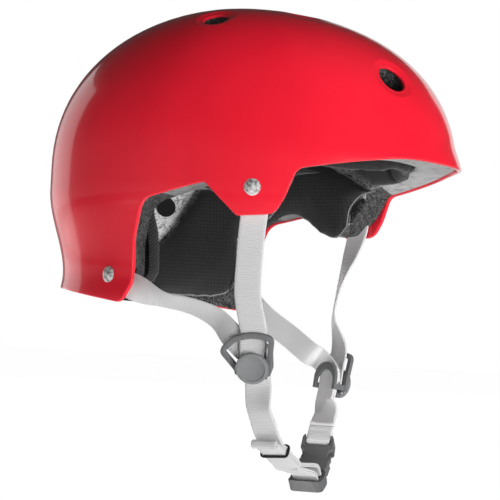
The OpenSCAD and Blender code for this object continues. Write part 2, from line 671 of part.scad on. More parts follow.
female_outline = [[female_end, half_w - 0.6, 3], [-12, half_w, 8], [-4, half_w - 1.4, 6], [joint_x, half_w - 1.6, 2],
  [joint_x, -half_w + 1.6, 2], [-4, -half_w + 1.4, 6], [-12, -half_w, 8], [female_end, -half_w + 0.6, 3]];
module buckle_female() {
  color([0.32, 0.33, 0.34]) at_buckle() {
    difference() {
      curved_slab(female_outline);
      translate([pocket_end, -mouth_half, -pocket_thick / 2])
        cube([joint_x - pocket_end + 1, 2 * mouth_half, pocket_thick]);
      translate([pocket_end, -half_w - 2, -pocket_thick / 2])
        cube([10, buckle_width + 4, pocket_thick]);
      for (s = [-1, 1])
        translate([-10, s * (half_w + 2.2), -12]) cylinder(h = 30, r = 5.4, $fn = 32);
      translate([female_end - 1, -slot_half, -5]) cube([7.6, 2 * slot_half, 20]);
    }
    translate([female_bar_x, 0, curve_z(female_bar_x)]) rotate([90, 0, 0])
      cylinder(h = 2 * slot_half + 1, d = buckle_bar, center = true, $fn = 32);
  }
}

male_outline = [[joint_x + 0.3, half_w - 1.6, 2], [9, half_w, 8], [male_end, half_w - 0.4, 3.5],
  [male_end, -half_w + 0.4, 3.5], [9, -half_w, 8], [joint_x + 0.3, -half_w + 1.6, 2]];
module buckle_male() {
  color([0.45, 0.46, 0.47]) at_buckle() {
    difference() {
      curved_slab(male_outline);
      translate([6.6, -slot_half, -6]) cube([11.2, 2 * slot_half, 30]);
      for (s = [-1, 1]) {
        translate([arm_pivot_x, s * arm_y, -5]) cylinder(h = 12, d = knuckle + 2 * slide_gap, $fn = 32);
        translate([arm_pivot_x - 6, s * arm_y - arm_width / 2 - 0.8, -5]) cube([6, arm_width + 1.2, 12]);
      }
    }
    translate([male_bar_x, 0, curve_z(male_bar_x)]) rotate([90, 0, 0])
      cylinder(h = 2 * slot_half + 1, d = buckle_bar, center = true, $fn = 32);
    translate([-12.5, -1.8, -1.6]) cube([joint_x + 14, 3.6, 3.2]);
  }
}

// A sprung arm, drawn for the wearer's front side: a knuckle, a bar and a side pad
module buckle_arm() {
  latch_x = pocket_end + 9.7;
  translate([0, 0, -arm_thick / 2]) {
    translate([arm_pivot_x, arm_y, 0]) cylinder(h = arm_thick, d = knuckle, $fn = 32);
    linear_extrude(arm_thick) polygon(filleted([[arm_pivot_x, arm_y + arm_width / 2 - 0.3, 0],
      [latch_x, arm_y + arm_width / 2 - 0.3, 0], [latch_x, mouth_half + 1.5, 0.5],
      [latch_x - 3.5, mouth_half + 2.3, 3], [-13.5, mouth_half + 1.2, 2], [-13.5, arm_y - 0.4, 1.5],
      [-8, arm_y - arm_width / 2 + 0.6, 3],
      [arm_pivot_x, arm_y - arm_width / 2 + 0.3, 0]]));
  }
}
module buckle_arm_right() {
  color([0.45, 0.46, 0.47]) at_buckle() buckle_arm();
}
module buckle_arm_left() {
  color([0.45, 0.46, 0.47]) at_buckle() mirror([0, 1, 0]) buckle_arm();
}

// Chin webbing. The right one comes down, goes round the male half's middle bar and
// returns as the tail; the left one is sewn round the female half's bar.
across = [0, 1, 0];
turn_r = bar_r + soft_gap + chin_thick / 2;
down_x = male_bar_x - turn_r;
back_x = male_bar_x + turn_r;
stack_in = [-30, -50, -181.5];
stack_out = [-52, -46.4, -169];
stack_dir = unit(stack_out - stack_in);
stack_face = unit(cross(stack_dir, across));
layer_step = chin_thick + soft_gap;
hem_at = stack_out + stack_dir * 5 + stack_face * layer_step;
hem_size = 5;
module chin_strap_right() {
  color("lightgray") {
    ribbon(concat(
      [on_right([0, chin_start, chin_layer], [-1, 0, 0]), on_right([0, 2, chin_layer], [-1, 0, 0]),
       on_right([0.1, leg_end - 1, chin_layer], [-1, 0, 0]), on_right([1.8, -14, chin_layer], [-1, 0, 0]),
       [-68.8, -43.8, -146, 0.1, 1, 0], [-64.4, -44.8, -154, 0.05, 1, 0], concat([-59, -45.6, -162], across)],
      [for (k = [0, 0.15, 0.85, 1]) concat(mix(stack_out, stack_in, k), across)],
      [on_buckle(down_x + 4.5, 21.5), on_buckle(down_x, 12)],
      [for (a = [0 : 30 : 180]) on_buckle(male_bar_x - turn_r * cos(a), curve_z(male_bar_x) - turn_r * sin(a))],
      [on_buckle(back_x, 11), on_buckle(back_x + 3.4, 20.5)],
      [for (k = [0, 0.15, 0.85]) concat(mix(stack_in, stack_out, k) + stack_face * layer_step, across)],
      [concat(hem_at, across)]), chin_thick);
    translate(hem_at + stack_face * 1.2 + stack_dir * 2.2) rotate([90, 0, 0])
      cylinder(h = webbing, d = hem_size, center = true, $fn = 24);
  }
}

// Stations moved to one side of a ribbon, so that a second layer lies along it
function place_of(s) = [s[0], s[1], s[2]];
function width_of(s) = [s[3], s[4], s[5]];
function beside(list, step) = let (e = len(list) - 1) [for (i = [0 : e])
  let (way = unit(place_of(list[min(e, i + 1)]) - place_of(list[max(0, i - 1)])),
    n = unit(cross(way, width_of(list[i]))))
  concat(place_of(list[i]) + n * step, width_of(list[i]))];
function reversed(list) = [for (i = [len(list) - 1 : -1 : 0]) list[i]];

module chin_strap_left() {
  bar_turn = bar_r + soft_gap + web_thick / 2;
  bar_z = curve_z(female_bar_x);
  step = web_thick + soft_gap;
  inner = chin_top - web_thick / 2;
  first = [on_left([0, chin_start, inner], [-1, 0, 0]), on_left([0, 2, inner], [-1, 0, 0]),
    on_left([0, leg_end - 1, inner], [-1, 0, 0]), on_left([-0.4, -14, inner - 0.4], [-1, 0, 0]),
    [58, -40.4, -154, 0.2, 0.98, 0], [49, -42, -159.5, 0.1, 1, 0], [39, -45, -163.5, 0.1, 1, 0],
    on_buckle(female_end - 9, bar_z + 2.4)];
  color("lightgray") {
    ribbon(concat(first, [on_buckle(female_end - 3, bar_z + bar_turn + 0.2)],
      [for (a = [90 : -30 : -90]) on_buckle(female_bar_x + bar_turn * cos(a), bar_z + bar_turn * sin(a))],
      [on_buckle(female_end - 3, bar_z - bar_turn + 0.1)], reversed(beside(first, -step))));
  }
}

// Rubber ring round the strap and its tail
ring_at = mix(stack_out, stack_in, 0.22) + stack_face * layer_step / 2;
module keeper_ring() {
  inner = [chin_thick * 2 + soft_gap + 2 * slide_gap, webbing + 2 * slide_gap];
  x = stack_face;
  y = cross(stack_dir, stack_face);
  z = stack_dir;
  color([0.06, 0.06, 0.07])
    multmatrix([[x.x, y.x, z.x, ring_at.x], [x.y, y.y, z.y, ring_at.y], [x.z, y.z, z.z, ring_at.z]])
      linear_extrude(keeper_thick, center = true) difference() {
        offset(r = 2.4) square(inner + [keeper_thick * 2 - 4.8, keeper_thick * 2 - 4.8], center = true);
        offset(r = 0.4) square(inner - [0.8, 0.8], center = true);
      }
}

outer_shell();
foam_liner();
brow_pad();
nape_pad();
crown_pad();
side_pad_right();
side_pad_left();
hook_dots();
side_rivets();
rear_rivets();
rivet_washers();
front_strap_right();
front_strap_left();
rear_strap_right();
rear_strap_left();
divider_frame_right();
divider_frame_left();
divider_lever_right();
divider_lever_left();
lever_pins();
chin_strap_right();
chin_strap_left();
keeper_ring();
buckle_female();
buckle_male();
buckle_arm_right();
buckle_arm_left();
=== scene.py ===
# %% [markdown]
# # A skate helmet, dressed over its CAD frame
# The frame gives every solid at its true size and place. This lesson keeps the small hard
# parts, rounds their edges, and makes the shell, foam, pads and webbing anew over the solids,
# because those are the surfaces that a glossy or woven finish would show as facets.

# %% Load the frame
import bpy
import math
import numpy as np
from mathutils import Matrix, Vector


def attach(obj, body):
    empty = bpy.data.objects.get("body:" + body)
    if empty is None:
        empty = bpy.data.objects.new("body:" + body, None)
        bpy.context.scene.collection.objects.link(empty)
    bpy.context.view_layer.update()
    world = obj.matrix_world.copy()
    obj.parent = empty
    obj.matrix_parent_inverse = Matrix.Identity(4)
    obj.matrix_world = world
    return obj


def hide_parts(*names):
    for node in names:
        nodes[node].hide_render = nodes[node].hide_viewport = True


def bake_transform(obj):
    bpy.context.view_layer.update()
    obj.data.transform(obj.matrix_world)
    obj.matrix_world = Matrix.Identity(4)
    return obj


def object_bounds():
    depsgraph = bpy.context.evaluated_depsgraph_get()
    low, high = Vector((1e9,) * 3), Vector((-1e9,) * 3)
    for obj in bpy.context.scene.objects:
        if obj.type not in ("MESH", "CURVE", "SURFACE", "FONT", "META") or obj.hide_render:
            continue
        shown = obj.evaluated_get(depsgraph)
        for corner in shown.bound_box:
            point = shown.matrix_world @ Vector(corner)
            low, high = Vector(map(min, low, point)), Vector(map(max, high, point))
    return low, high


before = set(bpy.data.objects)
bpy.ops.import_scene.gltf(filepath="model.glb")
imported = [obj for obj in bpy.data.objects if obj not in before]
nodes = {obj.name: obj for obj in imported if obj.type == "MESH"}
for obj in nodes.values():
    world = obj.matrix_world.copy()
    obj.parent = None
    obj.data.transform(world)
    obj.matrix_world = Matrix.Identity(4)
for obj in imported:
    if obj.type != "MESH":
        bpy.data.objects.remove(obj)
cad_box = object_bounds()
MM = 0.001
print("nodes", len(nodes), "box", [tuple(round(c, 4) for c in p) for p in cad_box])

# %% [markdown]
# ## The camera and the studio
# The photograph was taken from the wearer's right and a little in front, just below the brim,
# with a long lens. The camera's place was worked out from the shell's outline and the rivets.

# %% Camera at the photograph's angle
camera_right = Vector((0.3902, -0.9195, 0.0468))
camera_up = Vector((-0.0670, 0.0223, 0.9975))
camera_back = Vector((-0.9183, -0.3924, -0.0529))
camera_data = bpy.data.cameras.new("camera")
camera_data.lens = 109.79
camera_data.sensor_width = 36.0
camera_data.clip_start = 0.05
camera = bpy.data.objects.new("camera", camera_data)
turn = Matrix((camera_right, camera_up, camera_back)).transposed()
camera.matrix_world = Matrix.Translation((-0.9075, -0.3919, -0.1013)) @ turn.to_4x4()
bpy.context.collection.objects.link(camera)
bpy.context.scene.camera = camera

# %% [markdown]
# The floor and the world are white only for the rays that the camera sends, so that the pale
# background adds no light to the helmet. Softboxes do the lighting: the shell is glossy, so each
# one is also a reflection with an edge, and its place is chosen by what it draws on the shell.

# %% Helpers for node materials
def link(tree, out_socket, in_socket):
    tree.links.new(out_socket, in_socket)


def feed(tree, value, socket):
    """Links a node's output to an input, or writes a plain value into it."""
    if isinstance(value, bpy.types.NodeSocket):
        link(tree, value, socket)
    else:
        socket.default_value = value


def rgba(color):
    """A grey level or an RGB triple, as RGBA."""
    return (*color, 1) if isinstance(color, tuple) else (color, color, color, 1)


def add(tree, kind, **values):
    """A new node, with its settings and the inputs that are named."""
    node = tree.nodes.new(kind)
    for key, value in values.items():
        if hasattr(node, key):
            setattr(node, key, value)
        else:
            node.inputs[key.replace("_", " ")].default_value = value
    return node


def math_node(tree, operation, *values):
    node = add(tree, "ShaderNodeMath", operation=operation)
    for value, socket in zip(values, node.inputs):
        feed(tree, value, socket)
    return node.outputs[0]


def blended(tree, factor, first, second):
    """A mix of two colors."""
    node = add(tree, "ShaderNodeMix", data_type="RGBA")
    for value, index in zip((factor, first, second), (0, 6, 7)):
        feed(tree, value, node.inputs[index])
    return node.outputs[2]


def split_xyz(tree, vector):
    node = tree.nodes.new("ShaderNodeSeparateXYZ")
    link(tree, vector, node.inputs[0])
    return node.outputs


def new_material(name, color, roughness, **values):
    """A material with a Principled shader, its constant values set on the shader itself."""
    made = bpy.data.materials.new(name)
    made.use_nodes = True
    tree = made.node_tree
    shader = tree.nodes["Principled BSDF"]
    shader.inputs["Base Color"].default_value = rgba(color)
    shader.inputs["Roughness"].default_value = roughness
    for key, value in values.items():
        shader.inputs[key.replace("_", " ")].default_value = value
    return made, tree, shader


def place(tree, kind="Object", degrees=0):
    """Coordinates on the piece itself, in metres, turned by a Mapping node."""
    mapping = add(tree, "ShaderNodeMapping", Rotation=(0, 0, math.radians(degrees)))
    link(tree, tree.nodes.new("ShaderNodeTexCoord").outputs[kind], mapping.inputs["Vector"])
    return mapping.outputs["Vector"]


def texture(tree, kind, where, **values):
    """The outputs of a texture that reads the given coordinates."""
    node = add(tree, "ShaderNodeTex" + kind, **values)
    link(tree, where, node.inputs["Vector"])
    return node.outputs


def ramp(tree, factor, stops):
    """A color ramp through (position, color) stops."""
    node = tree.nodes.new("ShaderNodeValToRGB")
    elements = node.color_ramp.elements
    for i, (position, color) in enumerate(stops):
        element = elements[i] if i < 2 else elements.new(position)
        element.position = position
        element.color = rgba(color)
    link(tree, factor, node.inputs["Fac"])
    return node.outputs["Color"]


def paint(tree, shader, factor, stops):
    """Colors a finish through a ramp."""
    link(tree, ramp(tree, factor, stops), shader.inputs["Base Color"])


def bump(tree, shader, height, distance, strength, socket="Normal"):
    node = add(tree, "ShaderNodeBump", Distance=distance, Strength=strength)
    link(tree, height, node.inputs["Height"])
    link(tree, node.outputs["Normal"], shader.inputs[socket])


# %% Floor, backdrop and world
FLOOR_SIZE, FLOOR_GAP = 8, 0.0006
scene = bpy.context.scene
scene.view_settings.view_transform = "Standard"
scene.world = bpy.data.worlds.new("studio")
scene.world.use_nodes = True
tree = scene.world.node_tree
rays = tree.nodes.new("ShaderNodeLightPath").outputs
way_out = split_xyz(tree, tree.nodes.new("ShaderNodeTexCoord").outputs["Generated"])
# The dim studio wall that gloss shows: palest near the level of the floor, darkest overhead
wall = ramp(tree, way_out["Z"], [(0.0, 0.18), (0.25, 0.05), (1.0, 0.016)])
ambient = blended(tree, rays["Is Glossy Ray"], rgba(0.035), wall)
seen = math_node(tree, "MAXIMUM", rays["Is Camera Ray"], rays["Is Transmission Ray"])
link(tree, blended(tree, seen, ambient, rgba(1)), tree.nodes["Background"].inputs["Color"])

bpy.ops.object.select_all(action="DESELECT")
bpy.ops.mesh.primitive_plane_add(size=FLOOR_SIZE, location=(0, 0, cad_box[0].z - FLOOR_GAP))
floor = bpy.context.object
floor.name = "floor"
paper, tree, shader = new_material("white_paper", 0.86, 0.9)
# The camera sees the paper nearly white, with a faint shadow left on it
rays = tree.nodes.new("ShaderNodeLightPath").outputs
glowing = math_node(tree, "MULTIPLY", rays["Is Camera Ray"], 0.93)
glow = add(tree, "ShaderNodeEmission", Strength=1.06)
mixed = tree.nodes.new("ShaderNodeMixShader")
for output, socket in zip((glowing, shader.outputs[0], glow.outputs[0]), mixed.inputs):
    link(tree, output, socket)
link(tree, mixed.outputs[0], tree.nodes["Material Output"].inputs["Surface"])
floor.data.materials.append(paper)
# The paper casts no shadow, so that low lamps reach the helmet's underside through it
floor.visible_shadow = False

# %% Softboxes
AIM = Vector((0, 0, -0.02))


def softbox(name, way, distance, size, watts, mirrored=False):
    """A lamp panel that faces the helmet: it either lights it, or is only mirrored in its gloss."""
    lamp = bpy.data.lights.new(name, "AREA")
    lamp.shape = "RECTANGLE"
    lamp.size, lamp.size_y = size
    lamp.energy = watts
    thing = bpy.data.objects.new(name, lamp)
    away = Vector(way).normalized()
    thing.location = AIM + away * distance
    thing.rotation_euler = away.to_track_quat("Z", "Y").to_euler()
    thing.visible_glossy, thing.visible_diffuse = mirrored, not mirrored
    thing.visible_camera = False
    bpy.context.collection.objects.link(thing)


softbox("key", (-0.45, -0.88, -0.10), 1.5, (1.0, 0.8), 30)
softbox("fill", (-0.80, 0.60, -0.30), 1.6, (1.0, 1.0), 8)
softbox("under", (-0.20, 0.50, -0.80), 1.2, (0.8, 0.8), 14.5)
softbox("back", (0.75, 0.65, 0.25), 1.6, (1.2, 1.2), 14)
softbox("top", (0.15, -0.40, 0.90), 1.6, (0.9, 0.9), 3)
softbox("rear_card", (0.36, 1.0, 0.10), 1.1, (0.62, 0.9), 1.0, mirrored=True)
softbox("far_card", (1.0, -0.02, 0.084), 1.2, (0.72, 1.08), 1.7, mirrored=True)
softbox("floor_card", (0, 0, -1.0), 1.0, (0.9, 0.9), 26, mirrored=True)

# %% [markdown]
# ## The form of the dome
# Shell, foam and pads all follow one dome: a crown that falls to the level of the widest section
# and then straight walls that are drawn in below the ears. A place on it is a turn t round the
# head, from the wearer's left, and a fall a from the crown. Inset is the depth below the shell's
# outer face. Everything is worked out in millimetres here and turned into metres when laid.

# %% The dome's sizes and curves
SHELL_FRONT, SHELL_REAR, SHELL_HALF_WIDTH, SHELL_CROWN = 137.0, 135.0, 104.5, 104.0
SHELL_WALL, LINER_INSET, CAVITY_INSET, PAD_GAP = 3.0, 3.3, 25.3, 2.35
FRONT_CURVE, REAR_CURVE, SIDE_CURVE, PLAN_CURVE = 2.17, 2.12, 2.61, 1.93
# How far the walls are drawn in below the ears, and over which levels
FRONT_TUCK, NAPE_TUCK, SIDE_TUCK, TUCK_FROM, TUCK_OVER = 3.0, 12.5, 6.5, 15.0, 55.0
# How far the brim and the nape skirt flare out, and over which levels
BRIM_FLARE, BRIM_OVER, SKIRT_FLARE, SKIRT_FROM, SKIRT_OVER = 4.0, 22.0, 2.0, 70.0, 16.0


def smooth(k):
    c = np.clip(k, 0, 1)
    return c * c * (3 - 2 * c)


def unit(v):
    v = np.asarray(v, float)
    return v / np.linalg.norm(v, axis=-1, keepdims=True)


def level(a, inset):
    return np.where(a <= 90, (SHELL_CROWN - inset) * np.cos(np.radians(a)), 90 - a)


def fall_of(z, inset):
    return np.where(z > 0, np.degrees(np.arccos(np.clip(z / (SHELL_CROWN - inset), -1, 1))), 90 - z)


def reaches(a, inset, flare):
    """How far the dome reaches forward, back and sideways at a fall."""
    z = level(a, inset)
    high = np.abs(np.cos(np.radians(np.minimum(a, 90))))
    front, rear, side = ((size - inset) * (1 - high**curve) ** (1 / curve) for size, curve in (
        (SHELL_FRONT, FRONT_CURVE), (SHELL_REAR, REAR_CURVE), (SHELL_HALF_WIDTH, SIDE_CURVE)))
    low = smooth((-z - TUCK_FROM) / TUCK_OVER)
    hem = smooth((-z - SKIRT_FROM) / SKIRT_OVER) * SKIRT_FLARE
    front = front - FRONT_TUCK * low + flare * smooth((BRIM_OVER - z) / BRIM_OVER)
    return front, rear - NAPE_TUCK * low + hem, side - SIDE_TUCK * low + hem


def share_of(x, y, reach):
    """1 for a point on the dome at its level, less for a point inside it."""
    front, rear, side = reach
    return np.abs(x / side)**PLAN_CURVE + np.abs(y / np.where(y < 0, front, rear))**PLAN_CURVE


def dome(t, a, inset, flare=0.0):
    """Points of the dome, in millimetres."""
    t, a = np.broadcast_arrays(np.asarray(t, float), np.asarray(a, float))
    front, rear, side = reaches(a, inset, flare)
    c, s = np.cos(np.radians(t)), np.sin(np.radians(t))
    c = np.sign(c) * np.abs(c) ** (2 / PLAN_CURVE)
    s = np.sign(s) * np.abs(s) ** (2 / PLAN_CURVE)
    return np.stack([side * c, np.where(s < 0, front, rear) * s, level(a, inset)], -1)


def turn_of(y, a, inset, flare=0.0):
    """The turn, on the wearer's left, at which the dome has this y."""
    front, rear, _ = reaches(a, inset, flare)
    share = np.clip(np.abs(y) / np.where(y < 0, front, rear), 0, 1)
    return np.sign(y) * np.degrees(np.arcsin(share ** (PLAN_CURVE / 2)))


def ways_on(t, a, inset, flare=0.0, d=0.05):
    """The steps along t and a, per degree, and the outward normal."""
    along_t = (dome(t + d, a, inset, flare) - dome(t - d, a, inset, flare)) / (2 * d)
    along_a = (dome(t, a + d, inset, flare) - dome(t, a - d, inset, flare)) / (2 * d)
    return along_t, along_a, unit(np.cross(along_a, along_t))


def spot(y, z, inset):
    """A place on the wearer's left side with its outward normal."""
    a = fall_of(np.float64(z), inset)
    t = turn_of(np.float64(y), a, inset)
    return dome(t, a, inset), ways_on(t, a, 0)[2]


print("shell at its widest", 2 * dome(0, 90, 0)[0], "mm")

# %% [markdown]
# The rim is a flat outline seen from the side, with a fillet at each corner, pressed through the
# dome. It carries the brim, the strap tab, the ear's cut-out and the nape skirt.

# %% The rim's outline
# Each corner of the outline is (y, z, radius of its fillet), from front to back
RIM = [(-170, 2.5, 0), (-125, 5, 60), (-70, -6, 7), (-64, -23, 30), (-58, -33.5, 9),
       (-36.5, -35, 2), (-17, -15.5, 3), (24, -26, 11), (31, -49.5, 30), (32, -76, 12),
       (39, -88, 6), (100, -80, 60), (170, -75, 0)]


def filleted(corners, steps=24):
    """A polyline through corners, each rounded by its fillet."""
    line = [np.array(corners[0][:2], float)]
    for before, here, after in zip(corners, corners[1:], corners[2:]):
        a, b, c = (np.array(p[:2], float) for p in (before, here, after))
        u, v = unit(a - b), unit(c - b)
        half = np.arccos(np.clip(u @ v, -1, 1)) / 2
        centre = b + unit(u + v) * here[2] / np.sin(half)
        start, end = (b + w * here[2] / np.tan(half) - centre for w in (u, v))
        first, last = np.arctan2(start[1], start[0]), np.arctan2(end[1], end[0])
        sweep = (last - first + np.pi) % (2 * np.pi) - np.pi
        for k in range(steps + 1):
            angle = first + sweep * k / steps
            line.append(centre + here[2] * np.array([np.cos(angle), np.sin(angle)]))
    line.append(np.array(corners[-1][:2], float))
    return np.array(line)


def run_along(line):
    """The length of a polyline up to each of its points."""
    return np.concatenate([[0], np.cumsum(np.linalg.norm(np.diff(line, axis=0), axis=1))])


def resampled(line, count, measure=None):
    """count + 1 points, evenly spaced along a polyline (or along another measure of it)."""
    run = run_along(line if measure is None else measure)
    at = np.linspace(0, run[-1], count + 1)
    return np.stack([np.interp(at, run, column) for column in line.T], -1)


def rim_half(inset, flare, shift, count, corners=RIM):
    """The rim on the wearer's left from front to back: (y, z) evenly spaced along the dome."""
    line = resampled(filleted(corners), 6000)
    tangent = unit(np.gradient(line, axis=0))
    line = line + shift * np.stack([-tangent[:, 1], tangent[:, 0]], -1)
    a = fall_of(line[:, 1], inset)
    front, rear, _ = reaches(a, inset, flare)
    line = line[(line[:, 0] > -front) & (line[:, 0] < rear)]
    a = fall_of(line[:, 1], inset)
    return resampled(line, count, dome(turn_of(line[:, 0], a, inset, flare), a, inset, flare))


# %% [markdown]
# ## Laying a sheet
# Blender's own grid is a sheet of clay: it comes with its rows, columns and UV map. Its points
# are then laid in their places, and edges that meet are merged. The UV map is rewritten in
# metres, so that ribs and threads keep their real size wherever the sheet goes.


# %% A grid laid in place
def select(*pieces):
    """Deselects everything, then selects these pieces, the first as the active one."""
    bpy.ops.object.select_all(action="DESELECT")
    for piece in pieces[::-1]:
        piece.select_set(True)
        bpy.context.view_layer.objects.active = piece


def set_uv(mesh, uv):
    """Writes a UV map in metres from one (across, along) pair per point."""
    layer = mesh.uv_layers.active or mesh.uv_layers.new(name="UVMap")
    point = np.empty(len(mesh.loops), int)
    mesh.loops.foreach_get("vertex_index", point)
    pairs = np.asarray(uv, np.float32).reshape(-1, 2)
    layer.data.foreach_set("uv", pairs[point].ravel())


def laid(name, points, uv=None, merge=1e-6, cap=False):
    """A mesh from rows of points in millimetres; uv is the (across, along) metres of each."""
    rows, columns = points.shape[:2]
    select()
    bpy.ops.mesh.primitive_grid_add(x_subdivisions=columns - 1, y_subdivisions=rows - 1, size=1)
    piece = bpy.context.object
    piece.name = name
    piece.data.vertices.foreach_set("co", (points * MM).astype(np.float32).ravel())
    if uv is not None:
        set_uv(piece.data, uv)
    bpy.ops.object.mode_set(mode="EDIT")
    bpy.ops.mesh.select_all(action="SELECT")
    bpy.ops.mesh.remove_doubles(threshold=merge)
    if cap:
        bpy.ops.mesh.select_all(action="DESELECT")
        bpy.ops.mesh.select_non_manifold()
        bpy.ops.mesh.fill_holes(sides=0)
        bpy.ops.mesh.select_all(action="SELECT")
    bpy.ops.mesh.normals_make_consistent(inside=False)
    bpy.ops.object.mode_set(mode="OBJECT")
    return piece


def swept(name, middle, across, up, x, z, u):
    """A closed section swept along a line: x runs across it, z up from it, and u over the cloth."""
    points = middle[:, None] + across[:, None] * x[:, None] + up[:, None] * z[:, None]
    uv = np.stack(np.broadcast_arrays(u[None, :], run_along(middle)[:, None]), -1) * MM
    return laid(name, points, uv, cap=True)


def apply_modifier(piece, kind, **values):
    """Adds one modifier with its settings and applies it."""
    select(piece)
    modifier = piece.modifiers.new(kind.lower(), kind)
    for key, value in values.items():
        setattr(modifier, key, value)
    bpy.ops.object.modifier_apply(modifier=modifier.name)


def joined(name, parts):
    """Several meshes as one piece."""
    select(*parts)
    if len(parts) > 1:
        bpy.ops.object.join()
    parts[0].name = name
    return parts[0]


def finished(piece, material, body, replaced=(), degrees=60):
    """Shades a piece, gives it its material and body, and hides the nodes that it stands for."""
    select(piece)
    bpy.ops.object.shade_smooth_by_angle(angle=math.radians(degrees))
    piece.data.materials.clear()
    piece.data.materials.append(material)
    if body:
        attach(piece, body)
    if replaced:
        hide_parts(*replaced)
    print(piece.name, len(piece.data.polygons), "faces")


# %% [markdown]
# ## The shell
# The real shell is one moulding, 3 mm thick, with a rolled, softly rounded rim. A dome with a
# rim cut out of it by a boolean would leave slivers where the cut crosses the mesh, so the
# columns of the sheet start square to the rim and run up to the crown, and a few rows of their
# own roll the rim over all the way along.

# %% Columns from the rim to the crown
RIM_HALF, TOP_FALL, EDGE_RADIUS = 240, 52.0, 0.9
# A column's curve sets off above its first row, with one handle in millimetres at the rim and one
# in degrees at the top, and is then made fair in so many passes
SET_OFF, RIM_HANDLE, TOP_HANDLE, FAIRING = 1.8, 14.0, 18.0, 30


def whole_loop(t, a):
    """Mirrors a rim on the wearer's left onto the right."""
    t[0], t[-1] = -90, 90
    return np.concatenate([t, 180 - t[-2:0:-1]]), np.concatenate([a, a[-2:0:-1]])


def square_steps(t, a, inset, flare):
    """For each rim point, the change of t and a that goes 1 mm square to the rim."""
    points = dome(t, a, inset, flare)
    tangent = unit(np.roll(points, -1, axis=0) - np.roll(points, 1, axis=0))
    along_t, along_a, normal = ways_on(t, a, inset, flare)
    inward = np.cross(normal, tangent)
    steps = [np.linalg.lstsq(np.stack([u, v], -1), w, rcond=None)[0]
             for u, v, w in zip(along_t, along_a, inward)]
    return np.array(steps), inward, normal


def columns(t, a, steps, first, rows, top_rows):
    """Rows of (t, a) from the rim to the crown: the first square to the rim, then a fair curve."""
    aim_t = -90 + 360.0 * np.arange(len(t)) / len(t)
    start = np.stack([t, a], -1)
    grid = [start + steps * first]
    p0, p1 = start + steps * first * SET_OFF, start + steps * (first * SET_OFF + RIM_HANDLE)
    p2 = np.stack([aim_t, np.full(len(t), TOP_FALL + TOP_HANDLE)], -1)
    p3 = np.stack([aim_t, np.full(len(t), TOP_FALL)], -1)
    for k in np.linspace(0, 1, rows + 1):
        grid.append((1 - k)**3 * p0 + 3 * k * (1 - k)**2 * p1 + 3 * k**2 * (1 - k) * p2 + k**3 * p3)
    for fall in np.linspace(TOP_FALL, 0, top_rows + 1)[1:]:
        grid.append(np.stack([aim_t, np.full(len(t), fall)], -1))
    grid = np.array(grid)
    # Points above the first rows are relaxed towards the middle of their four neighbours
    held = 2
    for _ in range(FAIRING):
        before, after = np.roll(grid, 1, axis=1), np.roll(grid, -1, axis=1)
        before[:, 0, 0] -= 360
        after[:, -1, 0] += 360
        grid[held:rows + 1] = (grid[held - 1:rows] + grid[held + 1:rows + 2]
                               + before[held:rows + 1] + after[held:rows + 1]) / 4
    return np.concatenate([grid, grid[:, :1] + [360, 0]], axis=1)


def closed_row(row):
    return np.concatenate([row, row[:1]])


def corner(points, start, end, radius, steps=4):
    """Rows that round a corner, from the start's side to the end's."""
    return [closed_row(points + start * radius * (1 - np.sin(k)) + end * radius * (1 - np.cos(k)))
            for k in np.linspace(0, np.pi / 2, steps + 1)]


half = rim_half(0, BRIM_FLARE, 0, RIM_HALF)
a = fall_of(half[:, 1], 0)
t, a = whole_loop(turn_of(half[:, 0], a, 0, BRIM_FLARE), a)
steps, inward, normal = square_steps(t, a, 0, BRIM_FLARE)
grid = columns(t, a, steps, EDGE_RADIUS, rows=34, top_rows=16)
outer = dome(grid[..., 0], grid[..., 1], 0, BRIM_FLARE)
with np.errstate(invalid="ignore"):
    normals = ways_on(grid[..., 0], grid[..., 1], 0, BRIM_FLARE)[2]
normals[-1] = (0, 0, 1)
rim = dome(t, a, 0, BRIM_FLARE)
edge = (corner(rim, inward, -normal, EDGE_RADIUS)
        + corner(rim - normal * SHELL_WALL, normal, inward, EDGE_RADIUS))
inner = outer - normals * SHELL_WALL
shell = laid("shell_skin", np.array([*outer[::-1], *edge[1:-1], *inner]))
print("shell", len(shell.data.polygons), "faces")

# %% [markdown]
# Each vent is a dished round hole. The dish follows the dome, so a ring is spun up point by
# point: out at the dish's edge it lies on the dome, and it sinks and rolls over into the hole.
# The shell gets a plain round opening that the ring fills.

# %% The vents' places
# Each vent is (x, y, share of the full size), and stands on both sides
VENTS = [(38, -109, 1.22), (67.5, -3, 1.06), (27, -44, 1), (27, 42, 1), (38, 106, 1.1)]
VENT_BORE, VENT_DISH, VENT_DEPTH, VENT_LIP = 15.0, 25.0, 1.1, 1.3
HOLE_TALL, HOLE_SIDES, BOTH_SIDES = 80, 72, (1, -1)


def onto_dome(points, way, low=-20.0, high=12.0):
    """Points slid along a direction until they lie on the upper dome, by halving."""
    low, high = np.full(points.shape[:-1], low), np.full(points.shape[:-1], high)
    for _ in range(40):
        middle = (low + high) / 2
        x, y, z = np.moveaxis(points + middle[..., None] * way, -1, 0)
        a = np.degrees(np.arccos(np.clip(z / SHELL_CROWN, 0, 1)))
        inner = share_of(x, y, reaches(a, 0, 0)) < 1
        low, high = np.where(inner, middle, low), np.where(inner, high, middle)
    return points + low[..., None] * way


def above(x, y):
    return onto_dome(np.array([x, y, 0.0]), np.array([0, 0, 1.0]), 0.0, SHELL_CROWN)


def vent_frame(x, y, side, d=2):
    """A vent's centre, its outward axis and two ways across it."""
    flip = np.array([side, 1, 1])
    slope_x, slope_y = above(x + d, y) - above(x - d, y), above(x, y + d) - above(x, y - d)
    axis = unit(np.cross(slope_x, slope_y)) * flip
    first = unit(np.cross(axis, [0, 0, 1.0]))
    return above(x, y) * flip, axis, first, np.cross(axis, first)


